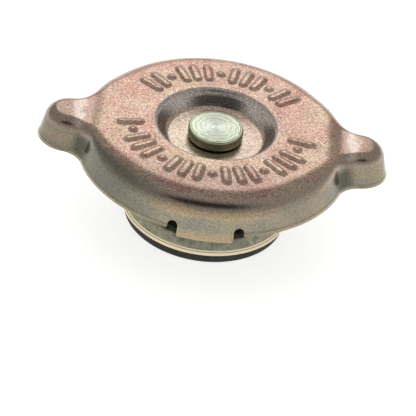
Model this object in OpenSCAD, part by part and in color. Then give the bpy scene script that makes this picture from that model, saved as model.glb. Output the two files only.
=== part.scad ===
// Radiator pressure cap with lifting ears, for a filler neck with two cam slots.
// Pressed steel cap on a shouldered rivet, sprung pressure valve, small vacuum valve.
// Units are millimetres. The underside of the main seal is at z = 0, the ears lie along X.
// Bend radii are those of the middle of the sheet, unless they are said to be outside radii.

/* [Cap pressing] */
// Height from the underside of the main seal to the flat top
cap_h = 26.5; // [25:0.1:32]
// Thickness of the sheet
sheet_t = 0.9; // [0.6:0.05:1.1]
// Diameter of the skirt at its free edge
skirt_d = 64; // [63:0.5:70]
// Drop from the flat top to the free edge of the skirt
skirt_drop = 8.5; // [7.5:0.1:9]
// Flare of the skirt from upright, in degrees
skirt_flare = 14; // [8:1:20]
// Outside radius of the shoulder between flat top and skirt
skirt_bend = 6; // [4.5:0.1:7]
// Width of the lap where the rim is laid on the flat top
lap_w = 1; // [0.6:0.1:1.2]

/* [Recess] */
// Diameter of the recess at the flat top
recess_d = 28.8; // [28:0.2:32]
// Bend radius of the rim of the recess
recess_bend = 0.9; // [0.6:0.1:2]
// Diameter of the recess floor
floor_d = 23.6; // [20:0.2:25]
// Bend radius round the recess floor
floor_bend = 1.2; // [0.8:0.1:2]
// Depth of the recess
recess_depth = 3.9; // [3.4:0.1:4.3]
// Height of the bearing pad round the rivet
pad_h = 0.3; // [0.2:0.05:0.6]
// Diameter of the bearing pad
pad_d = 9.6; // [8.5:0.1:11]
// Bend radius round the bearing pad
pad_bend = 0.6; // [0.55:0.05:0.8]

/* [Ears] */
// Span over the tips of both ears
ear_span = 82.6; // [78:0.2:88]
// Radius of an ear's tip seen from above
ear_tip_r = 7.1; // [6.4:0.1:8]
// Radius of the hollow corner between ear and skirt
ear_root_r = 6.2; // [5:0.1:9]
// Way in from the skirt's free edge to the floor of the valley before an ear
valley_inset = 1; // [0:0.1:1.6]
// Width of the fall from the flat top to the floor of the valley
valley_w = 3.5; // [2:0.1:4]
// Place of the crown between the valley and the outer edge of an ear
crown_share = 0.7; // [0.5:0.05:0.8]
// Drop from the flat top to the valley
valley_drop = 1.2; // [0.6:0.1:1.6]
// Drop from the flat top to the crown
crown_drop = 0.9; // [0.3:0.1:1.2]
// Drop from the flat top to the outer edge of an ear
edge_drop = 1.2; // [0.6:0.1:1.6]
// Outside radius of the ear's top edge
ear_bend = 3.2; // [2.6:0.1:3.8]
// Angle beside an ear over which the shoulder tightens to the ear's edge
ear_blend = 25; // [5:1:35]

/* [Locking tabs] */
// Width of a tab
tab_w = 12.8; // [10:0.2:16]
// Drop from the free edge to the underside of the tab
tab_drop = 2.2; // [1.8:0.1:3]
// Step from the outside of the skirt in to the outside of a tab
tab_step = 0.08; // [0.06:0.01:0.2]
// Reach of the folded lip from the outside of the skirt
tab_reach = 3.4; // [2.6:0.1:3.6]
// Outside radius of the fold
tab_bend = 1.5; // [1.1:0.1:1.7]
// Width of the relief notch beside a tab
notch_w = 2.4; // [1.6:0.1:3]
// Height of the relief notch above the free edge
notch_h = 2; // [1.6:0.1:3]
// Turn of the tabs from square to the ears
tab_turn = 0; // [-6:0.5:6]

/* [Rivet] */
// Diameter of the head
head_d = 13; // [11.5:0.2:14]
// Thickness of the head
head_h = 2.4; // [1.8:0.1:2.8]
// Chamfer round the head and round the tail
rivet_edge = 0.45; // [0.2:0.05:0.6]
// Diameter of the shoulder that the cap turns on
shoulder_d = 7.2; // [6.8:0.1:7.8]
// Diameter of the shank through the riveted stack
shank_d = 6; // [5:0.1:6.4]
// Diameter of the clenched tail
tail_d = 10; // [8.5:0.2:12]
// Thickness of the clenched tail
tail_h = 1.2; // [0.8:0.1:1.6]

/* [Spring disc and neck gasket] */
// Thickness of the spring disc
disc_t = 0.35; // [0.25:0.05:0.5]
// Diameter of the spring disc
disc_d = 55; // [53:0.5:56]
// Drop of the disc's rim below its middle
disc_drop = 1.3; // [0.8:0.1:1.6]
// Bend radius of the disc
disc_bend = 3; // [2:0.5:3.5]
// Flat of the disc beyond the spring plate and inside the gasket
disc_land = 0.6; // [0.5:0.1:1]
// Outside diameter of the neck gasket
gasket_d = 54.4; // [51:0.2:55]
// Inside diameter of the neck gasket
gasket_hole_d = 45.6; // [45:0.2:48]
// Thickness of the neck gasket
gasket_t = 1.45; // [1:0.05:1.6]

/* [Pressure valve] */
// Diameter of the main seal
seal_d = 38.6; // [38:0.2:40]
// Thickness of the main seal
seal_t = 2.7; // [2.4:0.1:3.2]
// Chamfer of the seal's edges
seal_edge = 0.4; // [0.2:0.1:0.8]
// Diameter of the lip of the valve cup
lip_d = 40.2; // [38.4:0.2:42]
// Outside diameter of the wall of the valve cup
cup_d = 36.8; // [36.4:0.2:37.6]
// Height of the valve cup above the seal
cup_h = 3.9; // [3.5:0.1:4.6]
// Sheet thickness of the valve cup
cup_t = 0.7; // [0.5:0.05:0.8]
// Bend radius of the cup's shoulder
cup_bend = 0.9; // [0.6:0.1:1.2]
// Bend radius of the cup's lip, its collar and the collar's flange
fold_bend = 0.5; // [0.45:0.05:0.6]
// Outside diameter of the guide collar
collar_d = 23.4; // [22.6:0.1:23.8]
// Overlap of the collar's flange on the flange of the spring bell
hook_w = 0.9; // [0.7:0.05:1.1]
// Lift of the pressure valve
valve_lift = 3; // [2:0.1:3.2]
// Thickness of the backing plate and the vacuum plate
plate_t = 0.6; // [0.5:0.05:0.7]
// Bore of the eyelet in the backing plate
eyelet_d = 18; // [17:0.2:18.6]
// Diameter of the eyelet's rolled flange
eyelet_flange_d = 25; // [23:0.2:26]
// Drop of the eyelet's flange below the backing plate
eyelet_drop = 1.8; // [1.5:0.1:2]
// Bend radius of the eyelet
eyelet_bend = 0.35; // [0.35:0.05:0.5]

/* [Spring bell] */
// Sheet thickness of the bell and of the upper spring plate
bell_t = 0.8; // [0.6:0.05:0.9]
// Bend radius of the bell's top and of the spring plate
bell_bend = 0.8; // [0.6:0.1:1.2]
// Diameter of a vent hole in the bell
vent_d = 3.6; // [2:0.1:4.4]
// Number of vent holes
vents = 4; // [3:1:6]

/* [Pressure spring] */
// Wire diameter
wire_d = 1.8; // [1.4:0.1:1.9]
// Working turns
turns = 3.2; // [2.7:0.1:3.3]
// Closed turns at each end
end_turns = 0.8; // [0.5:0.1:0.9]
// Depth of the turned-down lip of the upper spring plate
spring_lip = 2; // [1.4:0.1:2.6]

/* [Vacuum valve] */
// Diameter of the vacuum plate
vacuum_plate_d = 24; // [22:0.2:25]
// Diameter of the brass disc
vacuum_d = 14.6; // [13:0.2:15.4]
// Thickness of the brass disc
vacuum_t = 0.6; // [0.4:0.05:0.7]
// Diameter of the rubber washer
washer_d = 13.6; // [13:0.2:14.4]
// Thickness of the rubber washer
washer_t = 0.75; // [0.6:0.05:0.9]
// Diameter of the stem
stem_d = 2.6; // [2:0.1:2.8]
// Rim of the stem's head beyond the stem
stem_head_rim = 1.1; // [0.8:0.1:1.6]
// Height of the stem's head
stem_head_h = 0.7; // [0.5:0.05:0.75]
// Chamfer of the stem's head
stem_edge = 0.3; // [0.1:0.1:0.4]
// Rim of the peened end beyond the stem
peen_rim = 0.6; // [0.3:0.1:0.9]
// Height of the peened end
peen_h = 0.5; // [0.3:0.1:0.8]
// Height of the light spring
light_spring_h = 3.7; // [3:0.1:4.5]
// Wire diameter of the light spring
light_wire_d = 0.5; // [0.35:0.05:0.55]
// Working turns of the light spring
light_turns = 3; // [2:0.1:3]
// Space between the stem's hole and the light spring
light_spring_gap = 0.4; // [0.2:0.1:0.6]
// Rim of the stem's collar beyond the light spring
collar_rim = 0.5; // [0.2:0.1:0.8]
// Thickness of the stem's collar
collar_t = 0.6; // [0.4:0.1:0.8]
// Flow holes in the vacuum plate
flow_holes = 6; // [4:1:8]
// Diameter of a flow hole
flow_d = 1.9; // [1.2:0.1:2.2]
// Opening travel of the vacuum valve
vacuum_travel = 1.1; // [0.8:0.1:1.2]

/* [Clearances] */
// Play between parts that slide
running = 0.3; // [0.2:0.05:0.4]
// Play between the cap and what it turns on
swivel_gap = 0.05; // [0.05:0.05:0.15]
// Play of a fitted part in its hole
fit_gap = 0.05; // [0.05:0.05:0.15]

/* [Hidden] */
$fn = 96;

// How far a cut runs past what it cuts, and a finer one for thin plates
past = 1;
eps = 0.01;

// Heights of the cap pressing
free_z = cap_h - skirt_drop;
floor_z = cap_h - recess_depth;
pad_z = floor_z + pad_h;
tab_z = free_z - tab_drop;
head_z = pad_z + swivel_gap;

// Radii of the cap pressing
skirt_r = skirt_d / 2;
rivet_hole_r = shoulder_d / 2 + swivel_gap;
bend_end = 90 - skirt_flare;
flat_r = skirt_r - rim_inset(skirt_bend, cap_h);
lap_out_r = flat_r - lap_w;
lap_in_r = lap_out_r - lap_w;

// Way in from the free edge to the start of a bend of radius r that starts at height z
function rim_inset(r, z) =
    r * sin(bend_end) + (z - r * (1 - cos(bend_end)) - free_z) * tan(skirt_flare);

// Riveted stack under the recess floor
disc_z = floor_z - sheet_t - swivel_gap - disc_t;
seat_z = disc_z - bell_t;
bell_z = seat_z - bell_t;
tail_z = bell_z - tail_h;
shank_hole_r = shank_d / 2 + fit_gap;
gasket_z = disc_z - disc_drop - gasket_t;

// Valve cup, bell and pressure spring, each clear of the one inside it
cup_z = seal_t + cup_h;
bell_foot_z = cup_z + valve_lift + running;
collar_r = collar_d / 2;
bell_hook_r = collar_r + running;
collar_top_r = bell_hook_r + hook_w;
bell_r = collar_top_r + running + bell_t;
foot_bend = (bell_t + running) / 2;
spring_r = bell_r + 2 * running + wire_d / 2;
spring_lip_r = spring_r + wire_d / 2 + running;
spring_plate_r = spring_lip_r + bell_t;

// Vacuum valve, hung below the vacuum plate by its stem
plate_z = seal_t;
eyelet_z = plate_z - eyelet_drop;
vacuum_plate_z = plate_z + plate_t;
light_spring_z = vacuum_plate_z + plate_t;
washer_z = vacuum_plate_z - washer_t;
vacuum_z = washer_z - vacuum_t;
collar_z = light_spring_z + light_spring_h;
stem_r = stem_d / 2;
stem_hole_r = stem_r + running;
light_spring_r = stem_hole_r + light_spring_gap + light_wire_d / 2;

function unit(v) = v / norm(v);
function flip(list) = [for (i = [len(list) - 1:-1:0]) list[i]];
function flat(p) = [p[0], p[1]];
function smooth(u) = let (c = max(0, min(1, u))) c * c * (3 - 2 * c);
function half_turn(a) = a > 180 ? a - 360 : a < -180 ? a + 360 : a;

// Points of the bend of radius r at corner p between a and b
function bend(a, p, b, r, steps) =
    let (u = unit(a - p), v = unit(b - p), half = acos(u * v) / 2,
         c = p + unit(u + v) * r / sin(half),
         from = p + u * r / tan(half) - c,
         to = p + v * r / tan(half) - c,
         start = atan2(from[1], from[0]),
         turn = half_turn(atan2(to[1], to[0]) - start))
    [for (i = [0:steps]) c + r * [cos(start + turn * i / steps), sin(start + turn * i / steps)]];

// A line through corners [x, y, radius], each inner corner bent
function bent(corners, steps = 6) =
    let (last = len(corners) - 1)
    [flat(corners[0]),
     for (i = [1:last - 1])
         each bend(flat(corners[i - 1]), flat(corners[i]), flat(corners[i + 1]), corners[i][2], steps),
     flat(corners[last])];

// The line moved sideways by d, to the left of its direction
function beside(line, d) =
    let (last = len(line) - 1)
    [for (i = [0:last])
        let (u = unit(line[min(i + 1, last)] - line[min(i, last - 1)]),
             w = unit(line[max(i, 1)] - line[max(i - 1, 0)]),
             m = unit([-u[1] - w[1], u[0] + w[0]]))
        line[i] + m * d / (m * [-u[1], u[0]])];

// Section of a sheet of thickness t whose middle follows the bent line
function sheet(corners, t) =
    let (line = bent(corners))
    concat(beside(line, t / 2), flip(beside(line, -t / 2)));

module pressing(corners, t) {
    rotate_extrude() polygon(sheet(corners, t));
}

// Plan outline of skirt and ears: each entry is [x, y, inward x, inward y]
ear_x = ear_span / 2 - ear_tip_r;
root_far = skirt_r + ear_root_r;
root_near = ear_tip_r + ear_root_r;
root_x = (root_far * root_far - root_near * root_near + ear_x * ear_x) / (2 * ear_x);
root_y = sqrt(root_far * root_far - root_x * root_x);
root_angle = atan2(root_y, root_x);
tip_angle = atan2(root_y, root_x - ear_x);
ear_angle = atan2(ear_tip_r * sin(tip_angle), ear_x + ear_tip_r * cos(tip_angle));
tip_steps = 10;
root_steps = 6;
skirt_steps = 30;

function outline_arc(c, r, from, to, steps, inward) =
    [for (i = [0:steps])
        let (a = from + (to - from) * i / steps, u = [cos(a), sin(a)])
        concat(c + r * u, inward * u)];
function inner(list) = [for (i = [1:len(list) - 2]) list[i]];
function mirrored(list) = flip([for (p = list) [p[0], -p[1], p[2], -p[3]]]);

ear_root = outline_arc([root_x, root_y], ear_root_r, tip_angle + 180, root_angle + 180, root_steps, 1);
ear_tip = outline_arc([ear_x, 0], ear_tip_r, -tip_angle, tip_angle, tip_steps, -1);
skirt_back = outline_arc([0, 0], skirt_r, root_angle, 180 - root_angle, skirt_steps, -1);
half_outline = concat(mirrored(ear_root), inner(ear_tip), ear_root, inner(skirt_back));
outline = concat(half_outline, [for (p = half_outline) -p]);

// How far a point of the outline belongs to an ear, from 1 at the ear to 0 past the blend
function ear_share(p) =
    let (a = atan2(abs(p[1]), abs(p[0])))
    1 - smooth((a - ear_angle) / (root_angle + ear_blend - ear_angle));

// Drop of the top at x: down into the valley, up to the crown, down to the outer edge
valley_x = skirt_r - valley_inset;
edge_x = ear_span / 2 - rim_inset(ear_bend, cap_h - edge_drop);
crown_x = valley_x + (edge_x - valley_x) * crown_share;
function dip(x) =
    let (way = abs(x))
    valley_drop * smooth((way - valley_x + valley_w) / valley_w)
    - (valley_drop - crown_drop) * smooth((way - valley_x) / (crown_x - valley_x))
    + (edge_drop - crown_drop) * smooth((way - crown_x) / (edge_x - crown_x));

// Section of rim and skirt at one point of the outline, as a closed ring of points
crown_steps = 8;
bend_steps = 6;
function rim_ring(p) =
    let (r = skirt_bend + (ear_bend - skirt_bend) * ear_share(p),
         at = flat(p), n = [p[2], p[3]],
         edge_z = cap_h - dip((at + n * rim_inset(r, cap_h))[0]),
         top = at + n * rim_inset(r, edge_z),
         far = unit(top),
         crest = [for (i = [0:crown_steps - 1])
             let (v = i / crown_steps, c = (1 - v) * lap_out_r * far + v * top)
             concat(c, cap_h - dip(c[0]))],
         start = lap_in_r * far)
    concat(
        [concat(start, cap_h)],
        crest,
        [for (i = [0:bend_steps])
            let (a = bend_end * i / bend_steps)
            concat(top - n * r * sin(a), edge_z - r * (1 - cos(a)))],
        [concat(at, free_z), concat(at + n * sheet_t / cos(skirt_flare), free_z)],
        [for (i = [bend_steps:-1:0])
            let (a = bend_end * i / bend_steps, s = r - sheet_t)
            concat(top - n * s * sin(a), edge_z - r + s * cos(a))],
        [for (c = flip(crest)) c - [0, 0, sheet_t]],
        [concat(start, cap_h - sheet_t)]);

// Skin over rings of points, closed round both ways or capped at its ends
module skin(rings, closed) {
    m = len(rings[0]);
    k = len(rings);
    last = closed ? k - 1 : k - 2;
    sides = [for (i = [0:last], j = [0:m - 1])
        let (a = i * m + j, b = i * m + (j + 1) % m,
             c = ((i + 1) % k) * m + (j + 1) % m, d = ((i + 1) % k) * m + j)
        each [[a, c, b], [a, d, c]]];
    caps = closed ? [] : [[for (j = [0:m - 1]) j], [for (j = [m - 1:-1:0]) (k - 1) * m + j]];
    polyhedron([for (ring = rings) each ring], concat(sides, caps));
}

// Sheet of the platform from the rivet hole to the middle of the lap
module platform() {
    mid = sheet_t / 2;
    pressing([[rivet_hole_r, pad_z - mid],
              [pad_d / 2, pad_z - mid, pad_bend],
              [pad_d / 2 + 2 * pad_h, floor_z - mid, pad_bend],
              [floor_d / 2, floor_z - mid, floor_bend],
              [recess_d / 2, cap_h - mid, recess_bend],
              [(lap_in_r + lap_out_r) / 2, cap_h - mid]], sheet_t);
}

// Half angle between the notches beside a tab
notch_at = asin((tab_w + notch_w) / 2 / skirt_r);

// Tab folded inward under the skirt, held by a tongue in the sheet of the skirt
module tab() {
    mid_r = skirt_r - tab_step - sheet_t / 2;
    tongue_t = sheet_t / 2;
    rotate(-90 + tab_turn - notch_at)
        rotate_extrude(angle = 2 * notch_at) {
            polygon(sheet([[mid_r, free_z],
                           [mid_r, tab_z + sheet_t / 2, tab_bend - sheet_t / 2],
                           [skirt_r - tab_reach, tab_z + sheet_t / 2]], sheet_t));
            translate([mid_r - tongue_t / 2, free_z - eps])
                square([tongue_t, tongue_t]);
        }
}

// Round-topped notch at angle a from the middle of the tab
module notch(a) {
    depth = 2 * tab_reach;
    low_z = tab_z - past;
    round_z = free_z + notch_h - notch_w / 2;
    rotate(-90 + tab_turn + a)
        translate([skirt_r - tab_reach - past, 0, 0]) {
            translate([0, -notch_w / 2, low_z]) cube([depth, notch_w, round_z - low_z]);
            translate([0, 0, round_z]) rotate([0, 90, 0]) cylinder(d = notch_w, h = depth);
        }
}

module cap_shell() {
    color("darkkhaki") difference() {
        union() {
            platform();
            skin([for (p = outline) rim_ring(p)], true);
            for (side = [0, 180]) rotate(side) tab();
        }
        for (side = [0, 180], a = [-notch_at, notch_at]) rotate(side) notch(a);
    }
}

module centre_rivet() {
    shank_r = shank_d / 2;
    tail_r = tail_d / 2;
    shoulder_r = shoulder_d / 2;
    head_r = head_d / 2;
    head_top = head_z + head_h;
    round_off = rivet_edge / 3;
    color("silver") rotate_extrude() polygon([
        [0, tail_z], [tail_r - rivet_edge, tail_z], [tail_r, tail_z + rivet_edge], [tail_r, bell_z],
        [shank_r, bell_z], [shank_r, disc_z + disc_t], [shoulder_r, disc_z + disc_t],
        [shoulder_r, head_z], [head_r, head_z], [head_r, head_top - rivet_edge],
        [head_r - round_off, head_top - round_off], [head_r - rivet_edge, head_top], [0, head_top]]);
}

module spring_disc() {
    mid = disc_z + disc_t / 2;
    color("lightsteelblue") pressing([
        [shank_hole_r, mid],
        [spring_plate_r + running + disc_land, mid, disc_bend],
        [gasket_hole_d / 2 - disc_land, mid - disc_drop, disc_bend],
        [disc_d / 2, mid - disc_drop]], disc_t);
}

module neck_gasket() {
    color("black") translate([0, 0, gasket_z]) difference() {
        cylinder(d = gasket_d, h = gasket_t);
        translate([0, 0, -eps]) cylinder(d = gasket_hole_d, h = gasket_t + 2 * eps);
    }
}

module spring_seat() {
    mid = seat_z + bell_t / 2;
    lip_mid_r = spring_plate_r - bell_t / 2;
    color("slategray") pressing([
        [shank_hole_r, mid], [lip_mid_r, mid, bell_bend], [lip_mid_r, seat_z - spring_lip]], bell_t);
}

module spring_bell() {
    mid_r = bell_r - bell_t / 2;
    vent_z = (bell_foot_z + bell_z) / 2;
    color("gray") difference() {
        pressing([
            [shank_hole_r, bell_z + bell_t / 2],
            [mid_r, bell_z + bell_t / 2, bell_bend],
            [mid_r, bell_foot_z + bell_t / 2, foot_bend],
            [bell_hook_r, bell_foot_z + bell_t / 2]], bell_t);
        for (i = [0:vents - 1])
            rotate(360 * i / vents) translate([0, 0, vent_z])
                rotate([0, 90, 0]) cylinder(d = vent_d, h = bell_r + past);
    }
}

// Coil of round wire between two heights, with closed ends of the given pitch in wire diameters
closed_pitch = 1.06;
module coil(r, wire, low_z, high_z, work, sides, per_turn) {
    all = work + 2 * end_turns;
    pitch = wire * closed_pitch;
    rise = high_z - low_z - wire - 2 * end_turns * pitch;
    steps = round(all * per_turn);
    function height(t) =
        low_z + wire / 2 + min(t, end_turns) * pitch + max(0, t - all + end_turns) * pitch
        + rise * max(0, min(1, (t - end_turns) / work));
    skin([for (i = [0:steps])
        let (t = all * i / steps, u = [cos(360 * t), sin(360 * t)])
        [for (j = [0:sides - 1])
            let (a = -360 * j / sides)
            concat(u * (r + wire / 2 * cos(a)), height(t) + wire / 2 * sin(a))]], false);
}

module main_spring() {
    color("dimgray") coil(spring_r, wire_d, cup_z, seat_z, turns, sides = 8, per_turn = 24);
}

module valve_cup() {
    wall_r = (cup_d - cup_t) / 2;
    guide_r = collar_r - cup_t / 2;
    hook_z = bell_foot_z + bell_t + cup_t / 2;
    color("darkseagreen") pressing([
        [lip_d / 2, seal_t + cup_t / 2],
        [wall_r, seal_t + cup_t / 2, fold_bend],
        [wall_r, cup_z - cup_t / 2, cup_bend],
        [guide_r, cup_z - cup_t / 2, fold_bend],
        [guide_r, hook_z, fold_bend],
        [collar_top_r, hook_z]], cup_t);
}

module main_seal() {
    seal_r = seal_d / 2;
    bore_r = eyelet_d / 2 + plate_t + fit_gap;
    step_z = eyelet_z + plate_t;
    step_r = eyelet_flange_d / 2 + running;
    color("black") rotate_extrude() polygon([
        [bore_r, step_z], [step_r, step_z], [step_r + plate_t, 0], [seal_r - seal_edge, 0],
        [seal_r, seal_edge], [seal_r, seal_t - seal_edge], [seal_r - seal_edge, seal_t], [bore_r, seal_t]]);
}

module seal_plate() {
    wall_r = (eyelet_d + plate_t) / 2;
    color("gainsboro") pressing([
        [cup_d / 2 - cup_t - running, plate_z + plate_t / 2],
        [wall_r, plate_z + plate_t / 2, eyelet_bend],
        [wall_r, eyelet_z + plate_t / 2, eyelet_bend],
        [eyelet_flange_d / 2, eyelet_z + plate_t / 2]], plate_t);
}

module vacuum_seat() {
    ring_r = (stem_hole_r + washer_d / 2) / 2;
    color("goldenrod") translate([0, 0, vacuum_plate_z]) difference() {
        cylinder(d = vacuum_plate_d, h = plate_t);
        translate([0, 0, -eps]) cylinder(r = stem_hole_r, h = plate_t + 2 * eps);
        for (i = [0:flow_holes - 1])
            rotate(360 * i / flow_holes) translate([ring_r, 0, -eps])
                cylinder(d = flow_d, h = plate_t + 2 * eps);
    }
}

module stem_ring(d, z, t) {
    translate([0, 0, z]) difference() {
        cylinder(d = d, h = t);
        translate([0, 0, -eps]) cylinder(r = stem_r + fit_gap, h = t + 2 * eps);
    }
}

module vacuum_disc() {
    color("gold") stem_ring(vacuum_d, vacuum_z, vacuum_t);
}

module vacuum_washer() {
    color("black") stem_ring(washer_d, washer_z, washer_t);
}

module vacuum_stem() {
    head_r = stem_r + stem_head_rim;
    foot_z = vacuum_z - stem_head_h;
    top_z = collar_z + collar_t;
    color("gold") rotate_extrude() polygon([
        [0, foot_z], [head_r - stem_edge, foot_z], [head_r, foot_z + stem_edge], [head_r, vacuum_z],
        [stem_r, vacuum_z], [stem_r, top_z], [stem_r + peen_rim, top_z], [stem_r, top_z + peen_h],
        [0, top_z + peen_h]]);
}

module vacuum_spring() {
    color("dimgray")
        coil(light_spring_r, light_wire_d, light_spring_z, collar_z, light_turns, sides = 6, per_turn = 16);
}

module stem_collar() {
    color("gold") stem_ring(2 * (light_spring_r + collar_rim) + light_wire_d, collar_z, collar_t);
}

cap_shell();
centre_rivet();
spring_disc();
neck_gasket();
spring_seat();
spring_bell();
main_spring();
valve_cup();
main_seal();
seal_plate();
vacuum_seat();
vacuum_disc();
vacuum_washer();
vacuum_stem();
vacuum_spring();
stem_collar();
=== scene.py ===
"""Looks of a pressed-steel radiator pressure cap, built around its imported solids.

The classes hold their sizes in millimetres and make their meshes in metres, in the frame of the
solids: the underside of the main seal at z = 0, the ears along X, the locking tabs at -Y and +Y.
"""

from __future__ import annotations

import logging
import math
from dataclasses import dataclass, replace
from enum import Enum
from typing import Any, Iterable, Sequence

import bpy
import numpy as np
from mathutils import Matrix, Vector


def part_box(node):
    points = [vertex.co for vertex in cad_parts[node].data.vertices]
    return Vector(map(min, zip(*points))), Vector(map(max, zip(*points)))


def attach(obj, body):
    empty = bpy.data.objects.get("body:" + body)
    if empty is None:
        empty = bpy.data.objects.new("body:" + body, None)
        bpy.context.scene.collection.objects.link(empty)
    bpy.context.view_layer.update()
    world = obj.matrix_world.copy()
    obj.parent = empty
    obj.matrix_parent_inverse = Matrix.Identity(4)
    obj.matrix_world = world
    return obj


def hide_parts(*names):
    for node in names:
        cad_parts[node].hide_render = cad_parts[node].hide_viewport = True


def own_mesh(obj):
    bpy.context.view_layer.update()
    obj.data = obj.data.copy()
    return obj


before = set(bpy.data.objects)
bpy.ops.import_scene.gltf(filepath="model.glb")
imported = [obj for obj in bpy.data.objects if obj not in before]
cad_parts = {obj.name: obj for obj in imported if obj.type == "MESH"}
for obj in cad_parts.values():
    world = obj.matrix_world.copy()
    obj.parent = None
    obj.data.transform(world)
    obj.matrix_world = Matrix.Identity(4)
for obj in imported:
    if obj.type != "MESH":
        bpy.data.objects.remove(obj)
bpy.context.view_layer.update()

LOG = logging.getLogger("radiator_cap")
MM = 0.001

# Sizes that several classes share: the flat top's height, the skirt's drop and the seal's thickness.
CAP_H = 26.5
SKIRT_DROP = 8.5
SEAL_T = 2.7

# A point of a turned section that is nearer to the axis than this lies on it.
ON_AXIS = 1e-6

# A Mix node's colour sockets go by number, because their names repeat.
SHARE, BELOW, ABOVE, MIXED = 0, 6, 7, 2

Corner = tuple[float, ...]


class Body(str, Enum):
    """Moving bodies that carry the pieces made here."""

    CAP = "cap"
    CARRIER = "carrier"
    PRESSURE_VALVE = "pressure_valve"


class Slot(str, Enum):
    """Material slots of the pieces made here."""

    PASSIVATED_STEEL = "passivated_steel"
    BRIGHT_STEEL = "bright_steel"
    SPRING_STEEL = "spring_steel"
    GREY_STEEL = "grey_passivated_steel"
    RUBBER = "black_rubber"


class Band(Enum):
    """What hangs below the notches in one stretch of the skirt."""

    SKIRT = "skirt"
    NOTCH = "notch"
    TAB = "tab"


# Columns of the cap's mesh in one stretch of each kind.
BAND_COLUMNS = {Band.SKIRT: 58, Band.NOTCH: 12, Band.TAB: 24}


def srgb(code: str) -> tuple[float, float, float, float]:
    """Turn an sRGB hex value into linear colour.

    Args:
        code: Six hex digits after a hash sign.

    Returns:
        Linear red, green and blue, with an alpha of 1.
    """
    parts = [int(code[i:i + 2], 16) / 255 for i in (1, 3, 5)]
    linear = [c / 12.92 if c <= 0.04045 else ((c + 0.055) / 1.055) ** 2.4 for c in parts]
    return (*linear, 1.0)


def grain(size_mm: float) -> float:
    """Texture scale whose pattern repeats about once in size_mm on Object coordinates."""
    return 1 / (size_mm * MM)


class Graph:
    """A node tree under construction."""

    def __init__(self, tree: bpy.types.NodeTree) -> None:
        """Start with an empty tree."""
        self.tree = tree
        self.tree.nodes.clear()

    def add(self, kind: str, inputs: dict[Any, Any] | None = None, out: Any = 0,
            stops: Sequence[tuple[float, str]] = (), **settings: Any) -> Any:
        """Add one node with its settings and links.

        Args:
            kind: The node's type name.
            inputs: Values or sockets to link, by the input's name or index.
            out: Name or index of the output wanted, or None for the node itself.
            stops: Places and hex colours of a colour ramp.
            settings: Properties of the node.

        Returns:
            The output socket, or the node.
        """
        node = self.tree.nodes.new(kind)
        for key, value in settings.items():
            setattr(node, key, value)
        for key, value in (inputs or {}).items():
            if isinstance(value, bpy.types.NodeSocket):
                self.tree.links.new(value, node.inputs[key])
            else:
                node.inputs[key].default_value = value
        if stops:
            elements = node.color_ramp.elements
            while len(elements) < len(stops):
                elements.new(1.0)
            for element, (place, code) in zip(elements, stops):
                element.position = place
                element.color = srgb(code)
        return node if out is None else node.outputs[out]


def axis_distance(g: Graph, place: Any) -> Any:
    """Measure the distance from the Z axis.

    Args:
        g: The graph.
        place: Socket of the place.

    Returns:
        The distance's socket.
    """
    split = g.add("ShaderNodeSeparateXYZ", {0: place}, out=None).outputs
    flat = g.add("ShaderNodeCombineXYZ", {0: split[0], 1: split[1]})
    return g.add("ShaderNodeVectorMath", {0: flat}, out="Value", operation="LENGTH")


@dataclass(frozen=True)
class Surface:
    """What a finish gives its shader.

    Attributes:
        colour: Colour socket.
        height: Height socket of the relief.
        depth_mm: Depth of the relief.
        roughness: Roughness socket or value.
    """

    colour: Any
    height: Any
    depth_mm: float
    roughness: Any


@dataclass(frozen=True)
class Finish:
    """A surface finish that becomes one material.

    Attributes:
        name: Name of the material.
        roughness: Lowest roughness of the surface.
        metallic: Metallic share.
    """

    name: str
    roughness: float
    metallic: float

    def surface(self, g: Graph, place: Any) -> Surface:
        """Return the surface at the Object coordinates given."""
        raise NotImplementedError

    def make(self) -> bpy.types.Material:
        """Build the material.

        Returns:
            The finished material.
        """
        material = bpy.data.materials.new(self.name)
        material.use_nodes = True
        g = Graph(material.node_tree)
        look = self.surface(g, g.add("ShaderNodeTexCoord", out="Object"))
        normal = g.add("ShaderNodeBump", {
            "Height": look.height, "Distance": look.depth_mm * MM, "Strength": 1.0})
        shader = g.add("ShaderNodeBsdfPrincipled", {
            "Base Color": look.colour, "Metallic": self.metallic, "Roughness": look.roughness,
            "Normal": normal})
        g.add("ShaderNodeOutputMaterial", {"Surface": shader}, out=None)
        return material


@dataclass(frozen=True)
class Cloud:
    """Soft patches that shade from one colour into another.

    Attributes:
        size_mm: Size of the patches.
        detail: Octaves of finer patches in them.
        rough: Strength of the finer patches.
        stops: Places and hex colours of their ramp.
    """

    size_mm: float
    detail: float
    rough: float
    stops: tuple[tuple[float, str], ...]

    def paint(self, g: Graph, place: Any) -> tuple[Any, Any]:
        """Lay the patches out.

        Args:
            g: The material's graph.
            place: Object coordinates.

        Returns:
            The sockets of their pattern and of their colour.
        """
        pattern = g.add("ShaderNodeTexNoise", {
            "Vector": place, "Scale": grain(self.size_mm), "Detail": self.detail, "Roughness": self.rough})
        return pattern, g.add("ShaderNodeValToRGB", {0: pattern}, stops=self.stops)


class Measure(Enum):
    """Measures of a place on the pressing, by which its zones are laid out."""

    X = "along the ears"
    Y = "towards the back"
    Z = "height"
    SPAN = "distance from the middle along the ears"
    DEPTH = "distance from the middle across the ears"
    FROM_ROOT = "distance from the hollow where an ear begins"
    RADIUS = "distance from the axis, which wanders a little"
    HEIGHT = "height, which wanders a little"
    RAGGED_SPAN = "distance along the ears, which wanders widely"


@dataclass(frozen=True)
class Ramp:
    """A soft step in one measure, from 0 at its start to 1 at its end, in millimetres."""

    measure: Measure
    start: float
    end: float


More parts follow.
